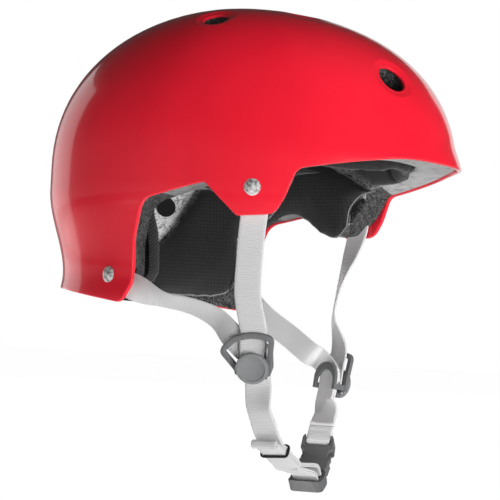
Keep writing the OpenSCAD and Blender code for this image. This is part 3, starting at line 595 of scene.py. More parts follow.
vents = [(*vent_frame(x, y, side), share) for x, y, share in VENTS for side in BOTH_SIDES]
print("vents", len(vents), "bores", sorted({round(VENT_BORE * v[4], 1) for v in vents}), "mm")


# %% Holes through the shell
def cylinder(centre, axis, radius, tall=HOLE_TALL, sides=HOLE_SIDES):
    """A cylinder in millimetres, its middle at a centre."""
    select()
    turn = Vector(axis).to_track_quat("Z", "Y").to_euler()
    bpy.ops.mesh.primitive_cylinder_add(vertices=sides, radius=radius * MM, depth=tall * MM,
                                        location=Vector(centre) * MM, rotation=turn)
    return bpy.context.object


def cut(piece, tools):
    """Cuts tools out of a piece."""
    tool = joined("cutting_tools", tools)
    apply_modifier(piece, "BOOLEAN", object=tool, operation="DIFFERENCE", solver="EXACT")
    bpy.data.objects.remove(tool)


cut(shell, [cylinder(c, n, VENT_DISH / 2 * s) for c, n, _, _, s in vents])


# %% The dished rings that fill the openings
def vent_ring(centre, axis, first, second, share):
    bore, dish = VENT_BORE / 2 * share, VENT_DISH / 2 * share
    profile = [(dish + 0.02 - (dish - bore - VENT_LIP) * k, VENT_DEPTH * smooth(k))
               for k in np.linspace(0, 1, 12)]
    profile += [(bore + VENT_LIP * (1 - np.sin(k)), VENT_DEPTH + VENT_LIP * (1 - np.cos(k)))
                for k in np.radians(np.linspace(0, 90, 7)[1:])]
    profile += [(bore, SHELL_WALL - 0.1), (bore + 0.4, SHELL_WALL), (dish, SHELL_WALL),
                (dish + 0.02, 0)]
    turns = np.radians(np.linspace(0, 360, HOLE_SIDES + 1))[:, None]
    around = np.cos(turns) * first + np.sin(turns) * second
    rows = [onto_dome(centre + around * radius, axis) - axis * depth for radius, depth in profile]
    return laid("vent_ring", np.array(rows), merge=2e-6)


rings = joined("vent_rims", [vent_ring(*v) for v in vents])
shell = joined("outer_shell_skin", [shell, rings])

# %% [markdown]
# The plastic is a deep red with a clear gloss. Up close such a shell isn't perfect: the colour
# wanders a little, and the surface has the faint waviness of a moulding.

# %% Gloss red plastic
red, tree, shader = new_material("red_gloss_shell", (0.83, 0.012, 0.032), 0.22, Coat_Weight=1.0,
                                 Coat_Roughness=0.06, Coat_IOR=1.5, Specular_IOR_Level=0.5)
where = place(tree)
cloud = texture(tree, "Noise", where, Scale=14.0, Detail=4.0)["Fac"]
paint(tree, shader, cloud, [(0.3, (0.78, 0.010, 0.028)), (0.7, (0.88, 0.014, 0.036))])
orange_peel = texture(tree, "Noise", where, Scale=420.0, Detail=2.0)["Fac"]
bump(tree, shader, orange_peel, 0.00004, 0.35, "Coat Normal")
finished(shell, red, "helmet", ["outer_shell"], 42)

# %% [markdown]
# ## The foam liner
# Between shell and pads lies 22 mm of beaded foam. Its mould left square rims, bevelled where they
# face forward, and pockets behind the riveted strap ends. It is one closed sheet: up the outer
# face, over the rim and up the inner face.

# %% Liner sheet
LINER_HALF, LINER_CORNER, LINER_BEVEL, LINER_SHORT = 180, 1.4, 4.6, 1.0
# The foam stops short of the tab's lower front corner, so that the shell shows beside it
FOAM_RIM = RIM[:3] + [(-62, -20, 20), (-49.5, -33.6, 7)] + RIM[5:]
half = rim_half(LINER_INSET, BRIM_FLARE, LINER_SHORT, LINER_HALF, FOAM_RIM)
slope = unit(np.gradient(half, axis=0))
a_out, a_in = fall_of(half[:, 1], LINER_INSET), fall_of(half[:, 1], CAVITY_INSET)
t_out = turn_of(half[:, 0], a_out, LINER_INSET, BRIM_FLARE)
# Level stretches keep their turn, and steep ones are cut straight across and bevelled
flat = slope[:, 0]**2
y_in = half[:, 0] * (1 - flat) + dome(t_out, a_in, CAVITY_INSET)[:, 1] * flat
y_in += LINER_BEVEL * np.maximum(0, -slope[:, 1])
y_in[2:-2] = np.convolve(y_in, np.ones(5) / 5, mode="valid")
t_in = turn_of(y_in, a_in, CAVITY_INSET)
# The last points at both ends are spread evenly, so that the two halves of the rim meet
ENDS = 8
t_in[:ENDS] = np.linspace(-90, t_in[ENDS - 1], ENDS)
t_in[-ENDS:] = np.linspace(t_in[-ENDS], 90, ENDS)


def liner_face(t, a, inset, flare):
    """One face of the liner: its rim, the way up from there, and the rows up to the crown."""
    t, a = whole_loop(t, a)
    steps, inward, _ = square_steps(t, a, inset, flare)
    grid = columns(t, a, steps, LINER_CORNER, rows=26, top_rows=12)
    return dome(t, a, inset, flare), inward, dome(grid[..., 0], grid[..., 1], inset, flare)


rim_out, inward_out, outer = liner_face(t_out, a_out, LINER_INSET, BRIM_FLARE)
rim_in, inward_in, inner = liner_face(t_in, a_in, CAVITY_INSET, 0)
over = unit(rim_in - rim_out)
liner = laid("liner_foam", np.array([
    *outer[::-1], *corner(rim_out, inward_out, over, LINER_CORNER)[1:],
    *[closed_row(rim_out + (rim_in - rim_out) * k) for k in (0.25, 0.5, 0.75)],
    *corner(rim_in, inward_in, -over, LINER_CORNER)[:0:-1], *inner]))
print("liner", len(liner.data.polygons), "faces")

# %% Vents and strap pockets in the liner
SIDE_RIVET, REAR_RIVET = (-45.5, -18), (51, -71)
POCKET_WIDTH, POCKET_START, POCKET_OVER = 21, 11, 4
HOLLOW_AT, HOLLOW_SIZE, HOLLOW_TURN = (-33.5, 108), (5, 3.4, 8), -42


def pocket_tool(rivet, turn_by, length, depth, side):
    """A box that leaves room behind a riveted strap end."""
    place_, normal_ = spot(*rivet, LINER_INSET)
    level_way = unit(np.cross([0, 0, 1.0], normal_))
    down_way = np.cross(level_way, normal_)
    c, s = np.cos(np.radians(turn_by)), np.sin(np.radians(turn_by))
    along = c * down_way + s * level_way
    centre = place_ + along * (length / 2 - POCKET_START) + normal_ * (POCKET_OVER - depth) / 2
    flip = np.array([side, 1, 1])
    ways = [along, np.cross(normal_, along) * side, normal_]
    sizes = (length, POCKET_WIDTH, depth + POCKET_OVER)
    select()
    bpy.ops.mesh.primitive_cube_add(size=1)
    box = bpy.context.object
    turn = Matrix([Vector(way * flip * size * MM) for way, size in zip(ways, sizes)]).transposed()
    box.matrix_world = Matrix.Translation(Vector(centre * flip) * MM) @ turn.to_4x4()
    return box


def hollow_tool(side):
    """The oval hollow behind the front edge of a tab."""
    select()
    at = Vector(dome(*HOLLOW_AT, CAVITY_INSET) * [side, 1, 1]) * MM
    bpy.ops.mesh.primitive_uv_sphere_add(segments=32, ring_count=16, radius=MM, location=at)
    hollow = bpy.context.object
    hollow.scale = HOLLOW_SIZE
    hollow.rotation_euler = (0, 0, side * math.radians(HOLLOW_TURN))
    return hollow


cut(liner, [cylinder(c, n, (VENT_BORE * s + 2) / 2) for c, n, _, _, s in vents])
cut(liner, [pocket_tool(SIDE_RIVET, 0, 40, 5.5, side) for side in BOTH_SIDES]
    + [pocket_tool(REAR_RIVET, -66, 48, 7, side) for side in BOTH_SIDES]
    + [hollow_tool(side) for side in BOTH_SIDES])

# %% Tones of the foam's faces
FIT_PASSES, FIT_REACH, DEEPEST = 12, 60, 70


def coordinates(items, key="co"):
    """Vectors of a mesh's points or faces as rows."""
    flat_list = np.empty(len(items) * 3)
    items.foreach_get(key, flat_list)
    return flat_list.reshape(-1, 3)


def placed(points, middle_turn=90):
    """The turn, fall and inset of points in the head space, by fitting the dome to each."""
    x, y, z = points.T
    inset = np.full(len(points), CAVITY_INSET)
    for _ in range(FIT_PASSES):
        front, rear, side = reach = reaches(fall_of(z, inset), inset, 0)
        further_in = 1 - share_of(x, y, reach)**(1 / PLAN_CURVE)
        inset = np.clip(inset + further_in * FIT_REACH, 0, DEEPEST)
    reach_y = np.where(y < 0, front, rear)
    t = np.degrees(np.arctan2(np.sign(y) * np.abs(y / reach_y)**(PLAN_CURVE / 2),
                              np.sign(x) * np.abs(x / side)**(PLAN_CURVE / 2)))
    return middle_turn + (t - middle_turn + 180) % 360 - 180, fall_of(z, inset), inset


# The tone is what the shader reads: inner faces are bare, cut ones moulded, darker behind the
# brow, and the vents' walls, the nape's lowest edge and the front of each tab are painted dark:
# painted shade inside the vents' bores and the tab's hollow, plain darker beads elsewhere
INNER, DIM, MOULDED, PAINTED_DARK = 0.0, 0.32, 0.5, 1.0
ABOVE_RIM, NAPE_EDGE, BEHIND_BROW, SQUARE_ON = 12, 163, -60, 0.75
TAB_TOP, TAB_FRONT, TAB_REAR = -8, -66, -47
centres, facing = (coordinates(liner.data.polygons, key) for key in ("center", "normal"))
t, a, _ = placed(centres / MM)
with np.errstate(invalid="ignore"):
    cut_face = np.abs((facing * ways_on(t, np.maximum(a, 1), 0)[2]).sum(1)) < SQUARE_ON
x, y, z = centres.T / MM
at_tab = (z < TAB_TOP) & (y > TAB_FRONT) & (y < TAB_REAR)
dark = cut_face & (z >= ABOVE_RIM) | (a > NAPE_EDGE) | at_tab
tone = np.where(dark, PAINTED_DARK, np.where(cut_face, np.where(y < BEHIND_BROW, MOULDED, DIM), INNER))
layer = liner.data.attributes.new("tone", "FLOAT", "FACE")
layer.data.foreach_set("value", tone.astype(np.float32))
print("foam faces, inner, dim, moulded and sooty:",
      [int((tone == kind).sum()) for kind in (INNER, DIM, MOULDED, PAINTED_DARK)])

# %% Beaded foam
foam, tree, shader = new_material("beaded_foam", 0.3, 0.75, Specular_IOR_Level=0.3)
where = place(tree)
beads = texture(tree, "Voronoi", where, Scale=850.0)
split = tree.nodes.new("ShaderNodeSeparateColor")
link(tree, beads["Color"], split.inputs[0])
bead = split.outputs[0]
blotch = texture(tree, "Noise", where, Scale=160.0, Detail=4.0)["Fac"]
tones = add(tree, "ShaderNodeAttribute", attribute_name="tone").outputs["Fac"]
cut_tone = math_node(tree, "GREATER_THAN", tones, 0.25)
# The cut rims behind the ear and in front of the tab are painted dark between these levels of y
level_y = split_xyz(tree, where)[1]
at_rim = math_node(tree, "MAXIMUM", math_node(tree, "COMPARE", level_y, -0.055, 0.017),
                   math_node(tree, "GREATER_THAN", level_y, 0.012))
bare = ramp(tree, bead, [(0.0, 0.12), (0.15, 0.30), (0.45, 0.50), (1.0, 0.68)])
skin = ramp(tree, blotch, [(0.32, 0.24), (0.45, 0.40), (0.7, 0.48)])
# Nearly black beads: painted shade in the vents' bores and the tab's hollow, plain dark elsewhere
painted_dark = ramp(tree, bead, [(0.0, 0.015), (0.5, 0.038), (1.0, 0.11)])
skin_shade = add(tree, "ShaderNodeVectorMath", operation="SCALE")
link(tree, skin, skin_shade.inputs[0])
link(tree, math_node(tree, "MULTIPLY", tones, 2.0), skin_shade.inputs["Scale"])
moulded = blended(tree, cut_tone, bare, skin_shade.outputs[0])
painted_dark_mask = math_node(tree, "MAXIMUM", math_node(tree, "MULTIPLY", at_rim, cut_tone),
                 math_node(tree, "GREATER_THAN", tones, 0.75))
link(tree, blended(tree, painted_dark_mask, moulded, painted_dark), shader.inputs["Base Color"])
bump(tree, shader, math_node(tree, "SUBTRACT", 1.0, beads["Distance"]), 0.0003, 0.4)
finished(liner, foam, "helmet", ["foam_liner"], 38)

# %% [markdown]
# ## The pads
# Each pad is a cover sewn round a sheet of soft foam. It starts as a closed, crowned sheet on the
# liner's inner face, is remeshed into even quads, and a short cloth simulation with air pressure
# then fills the cover, so that its faces swell and its corners draw in. How far a point may move
# is capped, so that the pad stays where it is held. Sewn channels are pressed in afterwards.

# %% Cushions on the liner
PAD_INSET, PAD_EDGE, PAD_LIP, PAD_CROWNING = CAVITY_INSET + PAD_GAP, 7.0, 1.2, 0.15
PAD_VOXEL, PAD_CAP, PAD_PRESSURE, PAD_FRAMES = 0.004, 2.2, 4.0, 20
# The cavity's reach round the head and up the dome, for lengths on the pads
ROUND_REACH, UP_REACH = 92, 74
CHANNEL_DEPTH, CHANNEL_WIDTH = 3.5, 2.2


def from_outline(points):
    """For each point of a grid, the way to the nearest point of its outline, in millimetres."""
    outline = np.concatenate([points[0], points[-1], points[:, 0], points[:, -1]])
    return np.min([np.linalg.norm(points - p, axis=-1) for p in outline], axis=0)


def rounded_edge(distance):
    return np.sqrt(1 - (1 - np.clip(distance / PAD_EDGE, 0, 1))**2)


def cushion(name, top, bottom, thick, cols=96, rows=30):
    """A closed cushion between two edges, each a list of (turn, fall)."""
    v = np.linspace(0, 1, rows + 1)
    turn = np.linspace(top[0][0], top[-1][0], cols + 1)
    high, low = (np.interp(turn, *zip(*sorted(edge))) for edge in (top, bottom))
    a = high[:, None] + (low - high)[:, None] * v
    t = np.broadcast_to(turn[:, None], a.shape)
    back = dome(t, a, PAD_INSET)
    rise = thick * rounded_edge(from_outline(back) + PAD_LIP)
    rise = rise * (1 - PAD_CROWNING + PAD_CROWNING * np.sin(np.pi * v))
    front = dome(t, a, PAD_INSET + rise)
    return laid(name, np.concatenate([front, back[:, -2::-1]], axis=1))


def round_cushion(name, reach, thick, turns=72, rings=22):
    """A closed round cushion over the crown."""
    t, k = np.linspace(0, 360, turns + 1), np.linspace(0, 1, rings + 1)[:, None]
    arc = reach * np.pi / 180 * (SHELL_CROWN - PAD_INSET) * (1 - k)
    rise = thick * rounded_edge(arc)
    front = dome(t[None, :], reach * k, PAD_INSET + rise)
    back = dome(t[None, :], reach * k, PAD_INSET)
    return laid(name, np.concatenate([front, back[-2::-1]], axis=0))


def puffed(piece):
    """Fills a cushion's cover by a short cloth simulation."""
    apply_modifier(piece, "REMESH", mode="VOXEL", voxel_size=PAD_VOXEL, use_smooth_shade=True)
    before = coordinates(piece.data.vertices)
    cloth = piece.modifiers.new("cloth", "CLOTH")
    cloth.settings.use_pressure = True
    cloth.settings.uniform_pressure_force = PAD_PRESSURE
    cloth.settings.effector_weights.gravity = 0
    cloth.point_cache.frame_start, cloth.point_cache.frame_end = 1, PAD_FRAMES
    for frame_number in range(1, PAD_FRAMES + 1):
        scene.frame_set(frame_number)
    bpy.context.view_layer.objects.active = piece
    bpy.ops.object.modifier_apply(modifier=cloth.name)
    scene.frame_set(1)
    move = coordinates(piece.data.vertices) - before
    far = np.linalg.norm(move, axis=1, keepdims=True) + 1e-12
    print(piece.name, "moved by up to", round(float(far.max()) / MM, 1), "mm before the cap")
    cap = PAD_CAP * MM
    move = move / far * np.minimum(far, cap * np.tanh(far / cap))
    piece.data.vertices.foreach_set("co", (before + move).ravel())
    apply_modifier(piece, "SUBSURF", levels=1, render_levels=1)


def sewn(piece, turns, channels):
    """Presses channels into a pad's face and lays a UV map on it that follows the head."""
    points = coordinates(piece.data.vertices) / MM
    t, a, inset = placed(points, sum(turns) / 2)
    if channels:
        outward = ways_on(t, a, PAD_INSET)[2]
        share = (t - turns[0]) / (turns[1] - turns[0])
        length = abs(turns[1] - turns[0]) * np.pi / 180 * ROUND_REACH
        press = sum(np.exp(-((share - c) * length / CHANNEL_WIDTH)**2) for c in channels)
        press = np.minimum(press, 1) * CHANNEL_DEPTH * smooth((inset - PAD_INSET - 1.5) / 3)
        piece.data.vertices.foreach_set("co", ((points + outward * press[:, None]) * MM).ravel())
    up = np.where(a < 90, np.radians(a - 90) * UP_REACH, a - 90)
    set_uv(piece.data, np.stack([np.radians(t) * ROUND_REACH, up], -1) * MM)


def both_halves(edge):
    """An edge from one end of a pad to its middle, as (turn, fall), and mirrored beyond it."""
    middle = edge[-1][0]
    return edge + [(2 * middle - turn, fall) for turn, fall in edge[-2::-1]]


# The left pads hang a little lower than the right ones above the ear, as in the photograph
NAPE_TOP = [(13, 96)] + both_halves([(20, 92), (36, 92), (41.4, 104), (48, 121), (55.5, 132),
                                     (76, 135), (90, 135)])
NAPE_BOTTOM = [(13, 121), (17, 123)] + both_halves([
    (20, 126), (20.6, 150), (21.6, 160), (23.6, 166), (27, 170), (40, 171), (90, 171)])
BROW_TOP = both_halves([(-152, 78), (-148, 70), (-138, 63), (-124, 60), (-90, 60)])
BROW_BOTTOM = both_halves([(-152, 82), (-147, 86), (-142, 89.5), (-137, 92.3), (-130, 94),
                           (-122, 93.4), (-117, 92.6), (-108, 90.6), (-100, 89.4), (-90, 89)])
SIDE_TOP = [(-43, 93.8), (-32.7, 87.8), (-21.8, 79.7), (-10, 71), (0, 66), (14, 64)]
TAB_PART = [(-43, 95), (-36, 97), (-31.5, 101), (-29.5, 106), (-28.5, 119), (-27, 125),
            (-22.7, 127.5), (-17, 126), (-11.5, 120)]
SIDE_BOTTOM = TAB_PART + [(-6.7, 114), (-2.2, 112.5), (3, 114.5), (8.6, 119), (14, 122)]
RIGHT_TOP, RIGHT_BOTTOM = ([(180 - turn, fall) for turn, fall in edge]
                           for edge in (SIDE_TOP, TAB_PART + [(-6.7, 112), (-2.2, 109), (14, 109)]))
brow = cushion("brow_cushion", BROW_TOP, BROW_BOTTOM, 9)
nape = cushion("nape_cushion", NAPE_TOP, NAPE_BOTTOM, 10, cols=170)
side_left = cushion("side_cushion_left", SIDE_TOP, SIDE_BOTTOM, 8)
side_right = cushion("side_cushion_right", RIGHT_TOP, RIGHT_BOTTOM, 8)
crown = round_cushion("crown_cushion", 33, 8)
# Each pad is (piece, node, first and last turn, shares of its length where a channel is sewn)
pads = [(brow, "brow_pad", (-152, -28), (0.25, 0.5, 0.75)), (nape, "nape_pad", (13, 160), ()),
        (side_left, "side_pad_left", (-43, 14), ()), (side_right, "side_pad_right", (223, 166), ()),
        (crown, "crown_pad", (0, 0), ())]

# %% Black ripstop
THREAD_PITCH, THREAD_HALF = 0.0024, 0.0002
ripstop, tree, shader = new_material("black_ripstop", (0.022, 0.022, 0.024), 0.7,
                                     Sheen_Weight=0.12, Sheen_Roughness=0.4,
                                     Specular_IOR_Level=0.3)
where = place(tree, "UV")
across, along, _ = split_xyz(tree, where)
# 1 on the threads of the grid, 0 between them
threads = math_node(tree, "MAXIMUM", *[
    math_node(tree, "LESS_THAN", math_node(tree, "PINGPONG", way, THREAD_PITCH / 2), THREAD_HALF)
    for way in (across, along)])
weave = texture(tree, "Noise", where, Scale=900.0, Detail=2.0)["Fac"]
ground = ramp(tree, weave, [(0.3, (0.016, 0.016, 0.017)), (0.7, (0.030, 0.030, 0.031))])
link(tree, blended(tree, threads, ground, rgba(0.012)), shader.inputs["Base Color"])
bump(tree, shader, math_node(tree, "ADD", threads, weave), 0.00012, 0.5)

for piece, name, turns, channels in pads:
    puffed(piece)
    sewn(piece, turns, channels)
    finished(piece, ripstop, "helmet", [name])

# %% [markdown]
# A pale cord is sewn into the pads' visible edges, and a ribbed black tape binds the front ends
# of the nape pad. Both are tubes along a line of turns and falls, drawn onto the pad's surface.

# %% Piping and binding
TUBE_STEPS, TUBE_FAIRING = 160, 6


def along_head(name, pad, line, inset, size, sides=10):
    """A tube with an oval section, size across and deep, on a pad along a line of (turn, fall)."""
    line = np.array(line, float)
    way = resampled(line, TUBE_STEPS, dome(line[:, 0], line[:, 1], inset))
    middle, outward = dome(way[:, 0], way[:, 1], inset), ways_on(way[:, 0], way[:, 1], inset)[2]
    middle = np.array([pad.closest_point_on_mesh(Vector(p) * MM)[1] for p in middle]) / MM
    for _ in range(TUBE_FAIRING):
        middle[1:-1] = (middle[:-2] + 2 * middle[1:-1] + middle[2:]) / 4
    across = np.cross(outward, unit(np.gradient(middle, axis=0)))
    turns = np.radians(np.linspace(0, 360, sides + 1))
    x, z = np.cos(turns) * size[0] / 2, np.sin(turns) * size[1] / 2
    return swept(name, middle, across, outward, x, z, z)


SIDE_PIPING = [(-19, 77.4), *SIDE_TOP[2::-1], *SIDE_BOTTOM[:-2]]
# Each cord is (pad, line, how far above the pad's back, thickness)
PIPING = [(side_left, SIDE_PIPING, 5, 0.9), (side_right, RIGHT_BOTTOM[3:-1], 5, 0.9),
          (nape, NAPE_BOTTOM[3:-1], 7, 1.0)]
piping = joined("pad_piping", [along_head("piping", pad, line, PAD_INSET + proud, (size, size))
                               for pad, line, proud, size in PIPING])
cord_grey, tree, shader = new_material("piping_grey", 0.22, 0.7)
twist = texture(tree, "Wave", place(tree, "UV", 35), Scale=260.0, Distortion=0.4)["Fac"]
paint(tree, shader, twist, [(0.0, 0.16), (1.0, 0.28)])
finished(piping, cord_grey, "helmet")

BINDINGS = [[(19.6, 130), (20, 145), (21, 158), (22.4, 164)],
            [(160.4, 104), (160.4, 128), (160, 145), (159, 158), (157.6, 164)]]
binding = joined("nape_binding", [along_head("binding", nape, line, PAD_INSET + 2, (2.4, 9), 16)
                                  for line in BINDINGS])
ribbed, tree, shader = new_material("ribbed_binding", (0.02, 0.02, 0.021), 0.7, Sheen_Weight=0.2)
ribs = texture(tree, "Wave", place(tree, "UV", 62), Scale=180.0)["Fac"]
# The ribs' valleys are painted darker than their crests: painted shade in the grooves
paint(tree, shader, ribs, [(0.3, 0.006), (0.8, 0.035)])
bump(tree, shader, ribs, 0.0003, 0.7)
finished(binding, ribbed, "helmet")

# %% [markdown]
# ## The webbing
# All straps are one 16 mm tape. A strap is a flat ribbon through stations, each a point and the way
# that its width runs. The stations near a divider or the buckle are given in that piece's own
# frame, so that the layers lie 0.3 mm apart in its slot. The UV map is in metres: ribs keep their
# 1 mm pitch along every strap.

# %% Frames of the dividers and the buckle
WEBBING, WEB_THICK, SOFT_GAP = 16.0, 1.5, 0.3
WASHER_GAP = 0.8
STRAP_INSET = SHELL_WALL + WASHER_GAP + WEB_THICK / 2
# Each divider's middle, how far it leans and which way it faces, in degrees
DIVIDER_RIGHT, RIGHT_LEAN, RIGHT_FACES = np.array([-76.5, -42.3, -121.4]), -24, 13.5
DIVIDER_LEFT, LEFT_LEAN, LEFT_FACES = np.array([70, -41, -133.6]), 8, -28
BUCKLE_AT = np.array([8.5, -51.2, -188])
BUCKLE_TILT, BUCKLE_YAW, BUCKLE_CURVE, CURVE_X = 46, 7, 45.0, -7
# The heights of the webbing's layers in a divider's slot, from its plate inwards
FRONT_LAYER = -(SOFT_GAP + WEB_THICK / 2)
REAR_LAYER = FRONT_LAYER - WEB_THICK - SOFT_GAP
CHIN_THICK = 2 * WEB_THICK - 0.4
CHIN_TOP = REAR_LAYER - WEB_THICK / 2 - SOFT_GAP
CHIN_LAYER = CHIN_TOP - CHIN_THICK / 2


def turned(v, degrees, i=0, j=1):
    """A vector turned in the plane of two of its axes."""
    v = np.array(v, float)
    c, s = math.cos(math.radians(degrees)), math.sin(math.radians(degrees))
    v[i], v[j] = v[i] * c - v[j] * s, v[i] * s + v[j] * c
    return v


def way_right(p):
    return turned(turned((-p[2], -p[0], p[1]), RIGHT_LEAN, 2, 0), RIGHT_FACES)


def way_left(p):
    return turned(turned((p[2], -p[0], p[1]), LEFT_LEAN, 2, 0), LEFT_FACES)


def way_buckle(p):
    c, s = math.cos(math.radians(BUCKLE_TILT)), math.sin(math.radians(BUCKLE_TILT))
    return turned((-c * p[0] - s * p[2], -p[1], -s * p[0] + c * p[2]), BUCKLE_YAW)


def on_right(p, w=(-1, 0, 0)):
    return [*(DIVIDER_RIGHT + way_right(p)), *way_right(w)]


def on_left(p, w=(-1, 0, 0)):
    return [*(DIVIDER_LEFT + way_left(p)), *way_left(w)]


def on_buckle(x, z):
    return [*(BUCKLE_AT + way_buckle((x, 0, z))), *way_buckle((0, -1, 0))]


def curve_z(x):
    return BUCKLE_CURVE - math.sqrt(BUCKLE_CURVE**2 - (x - CURVE_X)**2)


def from_rivet(rivet, along, side, shift, more=0):
    """A station against the shell's inner face, some way along from a rivet."""
    y, z = rivet[0] + along[1] * shift, rivet[1] + along[2] * shift
    place_, normal_ = spot(y, z, STRAP_INSET + more)
    width = unit(np.cross(normal_, along))
    return [side * place_[0], place_[1], place_[2], side * width[0], width[1], width[2]]


# %% A ribbon through stations
def catmull(stations, steps):
    p = np.asarray(stations, float)
    k = (np.arange(steps) / steps)[:, None]
    rows = []
    for i in range(len(p) - 1):
        a, b, c, d = p[max(0, i - 1)], p[i], p[i + 1], p[min(len(p) - 1, i + 2)]
        rows.append(0.5 * (2 * b + (c - a) * k + (2 * a - 5 * b + 4 * c - d) * k**2
                           + (3 * b - a - 3 * c + d) * k**3))
    return np.concatenate([*rows, p[-1:]])


def ribbon(name, stations, thick=WEB_THICK, shift=0.0, steps=12):
    """Flat tape with rounded edges; shift moves it off the stations, towards its face."""
    rows = catmull(stations, steps)
    along = unit(np.gradient(rows[:, :3], axis=0))
    face = unit(np.cross(along, rows[:, 3:]))
    half, flat_part = thick / 2, (WEBBING - thick) / 2
    round_ = np.radians(np.linspace(90, -90, 7)[1:-1])
    x = np.concatenate([np.linspace(-flat_part, flat_part, 9), flat_part + half * np.cos(round_)])
    z = np.concatenate([np.full(9, half), half * np.sin(round_)])
    x, z = np.concatenate([x, -x, x[:1]]), np.concatenate([z, -z, z[:1]])
    return swept(name, rows[:, :3] + face * shift, np.cross(face, along), face, x, z, x)


RIB_PITCH, WARP_PITCH = 0.00105, 0.0007


def woven(name, tone):
    """Ribbed tape: ribs across it, and the finer warp threads between them."""
    tape, tree, shader = new_material(name, tone, 0.75, Sheen_Weight=0.2, Specular_IOR_Level=0.25)
    across, along, _ = split_xyz(tree, place(tree, "UV"))
    rib, warp = (math_node(tree, "SINE", math_node(tree, "MULTIPLY", way, 2 * math.pi / pitch))
                 for way, pitch in ((along, RIB_PITCH), (across, WARP_PITCH)))
    height = math_node(tree, "ADD", rib, math_node(tree, "MULTIPLY", warp, 0.3))
    # The ribs' valleys are painted darker than their crests: painted shade in the grooves
    paint(tree, shader, math_node(tree, "MULTIPLY_ADD", height, 0.3, 0.5),
          [(0.1, tone * 0.78), (0.8, (tone, tone, tone * 1.01))])
    bump(tree, shader, height, 0.00012, 0.6)
    return tape


# Lighter copies of the same tape for the far straps: painted light, where the lamps leave them dim
web, web_far_painted_lighter, web_left_painted_lightest = (woven("webbing_light_grey", 0.66), woven("webbing_painted_lighter", 0.74),
                          woven("webbing_painted_lightest", 0.84))

# %% [markdown]
# The front strap hangs from its rivet and the rear one sweeps forward from the nape, twisting to
# lie flat where both pass through the divider. The far pair hangs slacker than the near one.

# %% Straps down to the dividers
DOWN, FORWARD = (0, 0, -1), (0, -0.927, -0.375)


def from_shell(rivet, along, side, shifts):
    return [from_rivet(rivet, along, side, *shift) for shift in shifts]


FRONT_SHIFTS, REAR_SHIFTS = [(-8.5,), (0,), (11,)], [(-8.5,), (0,), (9.5, 0.5), (19, 1.9)]
strap_stations = {
    "front_strap_right": from_shell(SIDE_RIVET, DOWN, -1, FRONT_SHIFTS) + [
        [-90, -43.2, -44, -0.22, 0.97, 0], [-88.4, -41.8, -61, -0.2, 0.98, 0],
        [-86.4, -41, -81, -0.2, 0.98, 0], on_right((0.4, 22, -1.6)), on_right((0, 12, FRONT_LAYER)),
        on_right((0, -1, FRONT_LAYER))],
    "front_strap_left": from_shell(SIDE_RIVET, DOWN, 1, FRONT_SHIFTS) + [
        [89.2, -42.4, -44, 0.5, 0.87, 0], [86, -38.6, -59, 0.8, 0.6, 0],
        [81.5, -36, -75, 0.92, 0.39, 0], [77, -35.7, -92, 0.9, 0.43, 0],
        on_left((1, 23, -1.5), (-1, 0, 0.08)), on_left((0.4, 12, FRONT_LAYER - 0.1)),
        on_left((0, -1, FRONT_LAYER))],
    "rear_strap_right": from_shell(REAR_RIVET, FORWARD, -1, REAR_SHIFTS) + [
        [-85.6, 14, -84.8, 0.78, 0.15, -0.58], [-83.5, -4, -88.4, 0.75, 0.25, -0.6],
        [-81.5, -19, -94.6, 0.5, 0.5, -0.7], on_right((-14, 17.5, -4.4), (-0.6, -0.8, 0)),
        on_right((-6.5, 10, REAR_LAYER - 0.05), (-0.72, -0.69, 0)),
        on_right((-1.4, 4.5, REAR_LAYER), (-0.97, -0.25, 0)), on_right((0, -1, REAR_LAYER))],
    "rear_strap_left": from_shell(REAR_RIVET, FORWARD, 1, REAR_SHIFTS) + [
        [80.5, 16, -91.5, -0.25, 0.35, -0.9], [75, -5, -104, -0.2, 0.45, -0.87],
        [69.4, -22, -114.5, -0.1, 0.5, -0.84], on_left((-13, 15, -5.6), (-0.62, -0.78, 0)),
        on_left((-6, 9.4, REAR_LAYER - 0.05), (-0.75, -0.66, 0)),
        on_left((-1.2, 4, REAR_LAYER), (-0.97, -0.25, 0)), on_left((0, -1, REAR_LAYER))]}
# The far straps take the copies of the tape that are painted lighter
TAPES = {"front_strap_left": web_far_painted_lighter, "rear_strap_left": web_left_painted_lightest}
for name, stations in strap_stations.items():
    strap = ribbon(name + "_tape", stations)
    finished(strap, TAPES.get(name, web), "helmet", [name])

# %% [markdown]
# Below its divider each pair runs on as a double tape. The right one goes round the bar in the
# buckle's male half, comes back through the keeper ring and ends in a rolled hem. The left one is
# sewn round the bar of the female half.

# %% Chin straps
ACROSS, BAR_R, MALE_BAR_X, FEMALE_END = (0, 1, 0), 1.8, 12.1, -24.0
FEMALE_BAR_X = FEMALE_END + BAR_R
STACK_IN, STACK_OUT = np.array([-30, -50, -181.5]), np.array([-52, -46.4, -169])
STACK_DIR = unit(STACK_OUT - STACK_IN)
STACK_FACE = unit(np.cross(STACK_DIR, ACROSS))
LAYER_STEP = CHIN_THICK + SOFT_GAP
HEM_AT = STACK_OUT + STACK_DIR * 5 + STACK_FACE * LAYER_STEP
HEM_RADIUS, HEM_ROLL, HEM_TURN = 2.35, 1.5, 420
# One layer of the double tape, and how far it lies from the middle
LAYER_THICK, LAYER_SHIFT = 1.2, 0.66
# The strap's station beside the buckle's male half
BUCKLE_SIDE = (-59, -45.6, -162)
turn_r = BAR_R + SOFT_GAP + CHIN_THICK / 2


def on_stack(k, step=0.0):
    return [*(STACK_OUT + (STACK_IN - STACK_OUT) * k + STACK_FACE * step), *ACROSS]


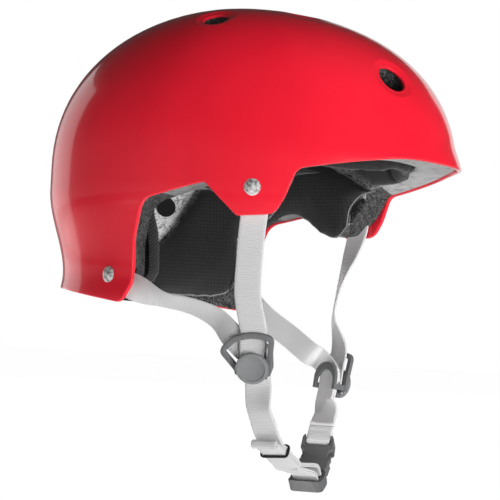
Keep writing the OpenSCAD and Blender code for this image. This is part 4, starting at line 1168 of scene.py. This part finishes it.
hem_middle = HEM_AT + STACK_FACE * 1.2 + STACK_DIR * 2.2
right_stations = [
    on_right((0, 9, CHIN_LAYER)), on_right((0, 2, CHIN_LAYER)), on_right((0.1, -6, CHIN_LAYER)),
    on_right((1.8, -14, CHIN_LAYER)), [-68.8, -43.8, -146, 0.1, 1, 0],
    [-64.4, -44.8, -154, 0.05, 1, 0],
    [*BUCKLE_SIDE, *ACROSS], *[on_stack(k) for k in (0, 0.15, 0.85, 1)],
    on_buckle(MALE_BAR_X - turn_r + 4.5, 21.5), on_buckle(MALE_BAR_X - turn_r, 12),
    *[on_buckle(MALE_BAR_X - turn_r * math.cos(k), curve_z(MALE_BAR_X) - turn_r * math.sin(k))
      for k in np.radians(range(0, 181, 30))],
    on_buckle(MALE_BAR_X + turn_r, 11), on_buckle(MALE_BAR_X + turn_r + 3.4, 20.5),
    *[on_stack(k, LAYER_STEP) for k in (1, 0.85, 0.15)], [*HEM_AT, *ACROSS]]
layers = [ribbon("chin_layer", right_stations, LAYER_THICK, shift)
          for shift in (-LAYER_SHIFT, LAYER_SHIFT)]
hem_stations = []
for angle in range(0, HEM_TURN + 1, 30):
    radius = HEM_RADIUS - HEM_ROLL * angle / HEM_TURN
    way = -STACK_FACE * math.cos(math.radians(angle)) + STACK_DIR * math.sin(math.radians(angle))
    hem_stations.append([*(hem_middle + way * radius), *ACROSS])
layers.append(ribbon("chin_hem", hem_stations, LAYER_THICK, steps=4))
chin_right = joined("chin_strap_right_tape", layers)
finished(chin_right, web, None, ["chin_strap_right"])
blend_start = Vector(on_right((0, 2, CHIN_LAYER))[:3]) * MM
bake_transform(chin_right)

bar_turn = BAR_R + SOFT_GAP + WEB_THICK / 2
bar_z = curve_z(FEMALE_BAR_X)
inner_layer = CHIN_TOP - WEB_THICK / 2
first = [on_left((0, 9, inner_layer)), on_left((0, 2, inner_layer)), on_left((0, -6, inner_layer)),
         on_left((-0.4, -14, inner_layer - 0.4)), [58, -40.4, -154, 0.2, 0.98, 0],
         [49, -42, -159.5, 0.1, 1, 0], [39, -45, -163.5, 0.1, 1, 0],
         on_buckle(FEMALE_END - 9, bar_z + 2.4)]


def beside(stations, step):
    """Stations moved to one side of a ribbon, so that a second layer lies along it."""
    p = np.array(stations, float)
    last = len(p) - 1
    way = np.array([p[min(last, i + 1), :3] - p[max(0, i - 1), :3] for i in range(last + 1)])
    p[:, :3] += unit(np.cross(unit(way), p[:, 3:])) * step
    return [list(row) for row in p]


round_bar = [on_buckle(FEMALE_BAR_X + bar_turn * math.cos(k), bar_z + bar_turn * math.sin(k))
             for k in np.radians(range(90, -91, -30))]
chin_left = ribbon("chin_strap_left_tape", [
    *first, on_buckle(FEMALE_END - 3, bar_z + bar_turn + 0.2), *round_bar,
    on_buckle(FEMALE_END - 3, bar_z - bar_turn + 0.1),
    *beside(first, -(WEB_THICK + SOFT_GAP))[::-1]])
finished(chin_left, web_left_painted_lightest, "helmet", ["chin_strap_left"])

# %% [markdown]
# ## Dividers, buckle, rivets and small parts
# These are hard mouldings whose CAD solids are already right. Each gets a copy of its solid with
# the facets merged, and a fine bevel on the sharp edges, as every moulded edge has.


# %% A rounded copy of a CAD solid
def kept(name, material, body, radius):
    piece = bpy.data.objects.new(name + "_moulding", nodes[name].data.copy())
    bpy.context.collection.objects.link(piece)
    select(piece)
    bpy.ops.object.mode_set(mode="EDIT")
    bpy.ops.mesh.select_all(action="SELECT")
    bpy.ops.mesh.remove_doubles(threshold=0.00001)
    bpy.ops.mesh.dissolve_limited(angle_limit=math.radians(0.5))
    bpy.ops.mesh.normals_make_consistent(inside=False)
    bpy.ops.object.mode_set(mode="OBJECT")
    apply_modifier(piece, "BEVEL", width=radius * MM, segments=2, limit_method="ANGLE",
                   angle_limit=math.radians(32), use_clamp_overlap=True)
    finished(piece, material, body, [name], 34)


# %% Satin and grained plastics, steel and rubber
def plastic(name, color, roughness, grain_scale, grain_height):
    made, tree, shader = new_material(name, color, roughness, Specular_IOR_Level=0.45)
    grain = texture(tree, "Noise", place(tree), Scale=grain_scale, Detail=3.0)["Fac"]
    dark, light = [tuple(c * k for c in color) for k in (0.88, 1.12)]
    paint(tree, shader, grain, [(0.3, dark), (0.7, light)])
    bump(tree, shader, grain, grain_height, 0.5)
    return made


divider_grey = plastic("satin_grey", (0.14, 0.143, 0.147), 0.42, 900.0, 0.00003)
lever_grey = plastic("lever_grey", (0.20, 0.204, 0.208), 0.4, 900.0, 0.00003)
buckle_grey = plastic("grained_dark_grey", (0.115, 0.117, 0.12), 0.5, 1500.0, 0.00008)
rubber = plastic("black_rubber", (0.012, 0.012, 0.013), 0.6, 700.0, 0.00004)
fuzz = plastic("black_fuzz", (0.012, 0.012, 0.012), 0.95, 1200.0, 0.0004)

steel, tree, shader = new_material("plated_steel", (0.8, 0.79, 0.77), 0.25, Metallic=0.55)
scuffs_and_glints = texture(tree, "Noise", place(tree), Scale=500.0, Detail=4.0)["Fac"]
rough = add(tree, "ShaderNodeMapRange", To_Min=0.2, To_Max=0.42)
link(tree, scuffs_and_glints, rough.inputs["Value"])
link(tree, rough.outputs["Result"], shader.inputs["Roughness"])
# The same noise paints light and dark speckles into the colour: painted highlights and painted dark
# reflections, with scuffs in the roughness and bump
paint(tree, shader, scuffs_and_glints, [(0.36, (0.28, 0.27, 0.26)), (0.5, (0.72, 0.71, 0.70)), (0.6, 0.95)])
bump(tree, shader, scuffs_and_glints, 0.0002, 0.6)

# %% The hard parts
for side in ("right", "left"):
    kept("divider_frame_" + side, divider_grey, "helmet", 0.55)
    kept("divider_lever_" + side, lever_grey, "lever_" + side, 0.45)
    kept("buckle_arm_" + side, buckle_grey, "prong_" + side, 0.35)
kept("lever_pins", steel, "helmet", 0.15)
kept("buckle_female", buckle_grey, "helmet", 0.6)
kept("buckle_male", buckle_grey, "male_half", 0.6)
kept("keeper_ring", rubber, "keeper", 0.3)
kept("side_rivets", steel, "helmet", 0.15)
kept("rear_rivets", steel, "helmet", 0.15)
kept("rivet_washers", steel, "helmet", 0.15)

# %% Hook dots
# A dot for each place where a pad can be held; the pair above the nape pad's wings is bare
DOTS = [(50, 107.5), (40, 135), (-9, 95), (-62, 75)]
DOT_RADIUS, DOT_TALL = 6.8, 1.8
dots = []
for t, a in DOTS + [(180 - t, a) for t, a in DOTS] + [(90, 150), (0, 0.01)]:
    outward = ways_on(t, a, CAVITY_INSET)[2] if a > 1 else (0, 0, 1)
    dot = cylinder(dome(t, a, CAVITY_INSET + DOT_TALL / 2), outward, DOT_RADIUS, DOT_TALL, 64)
    apply_modifier(dot, "BEVEL", width=0.4 * MM, segments=3, limit_method="ANGLE")
    dots.append(dot)
dots = joined("hook_dots_pile", dots)
bpy.ops.object.transform_apply(location=True, rotation=True, scale=True)
finished(dots, fuzz, "helmet", ["hook_dots"], 40)
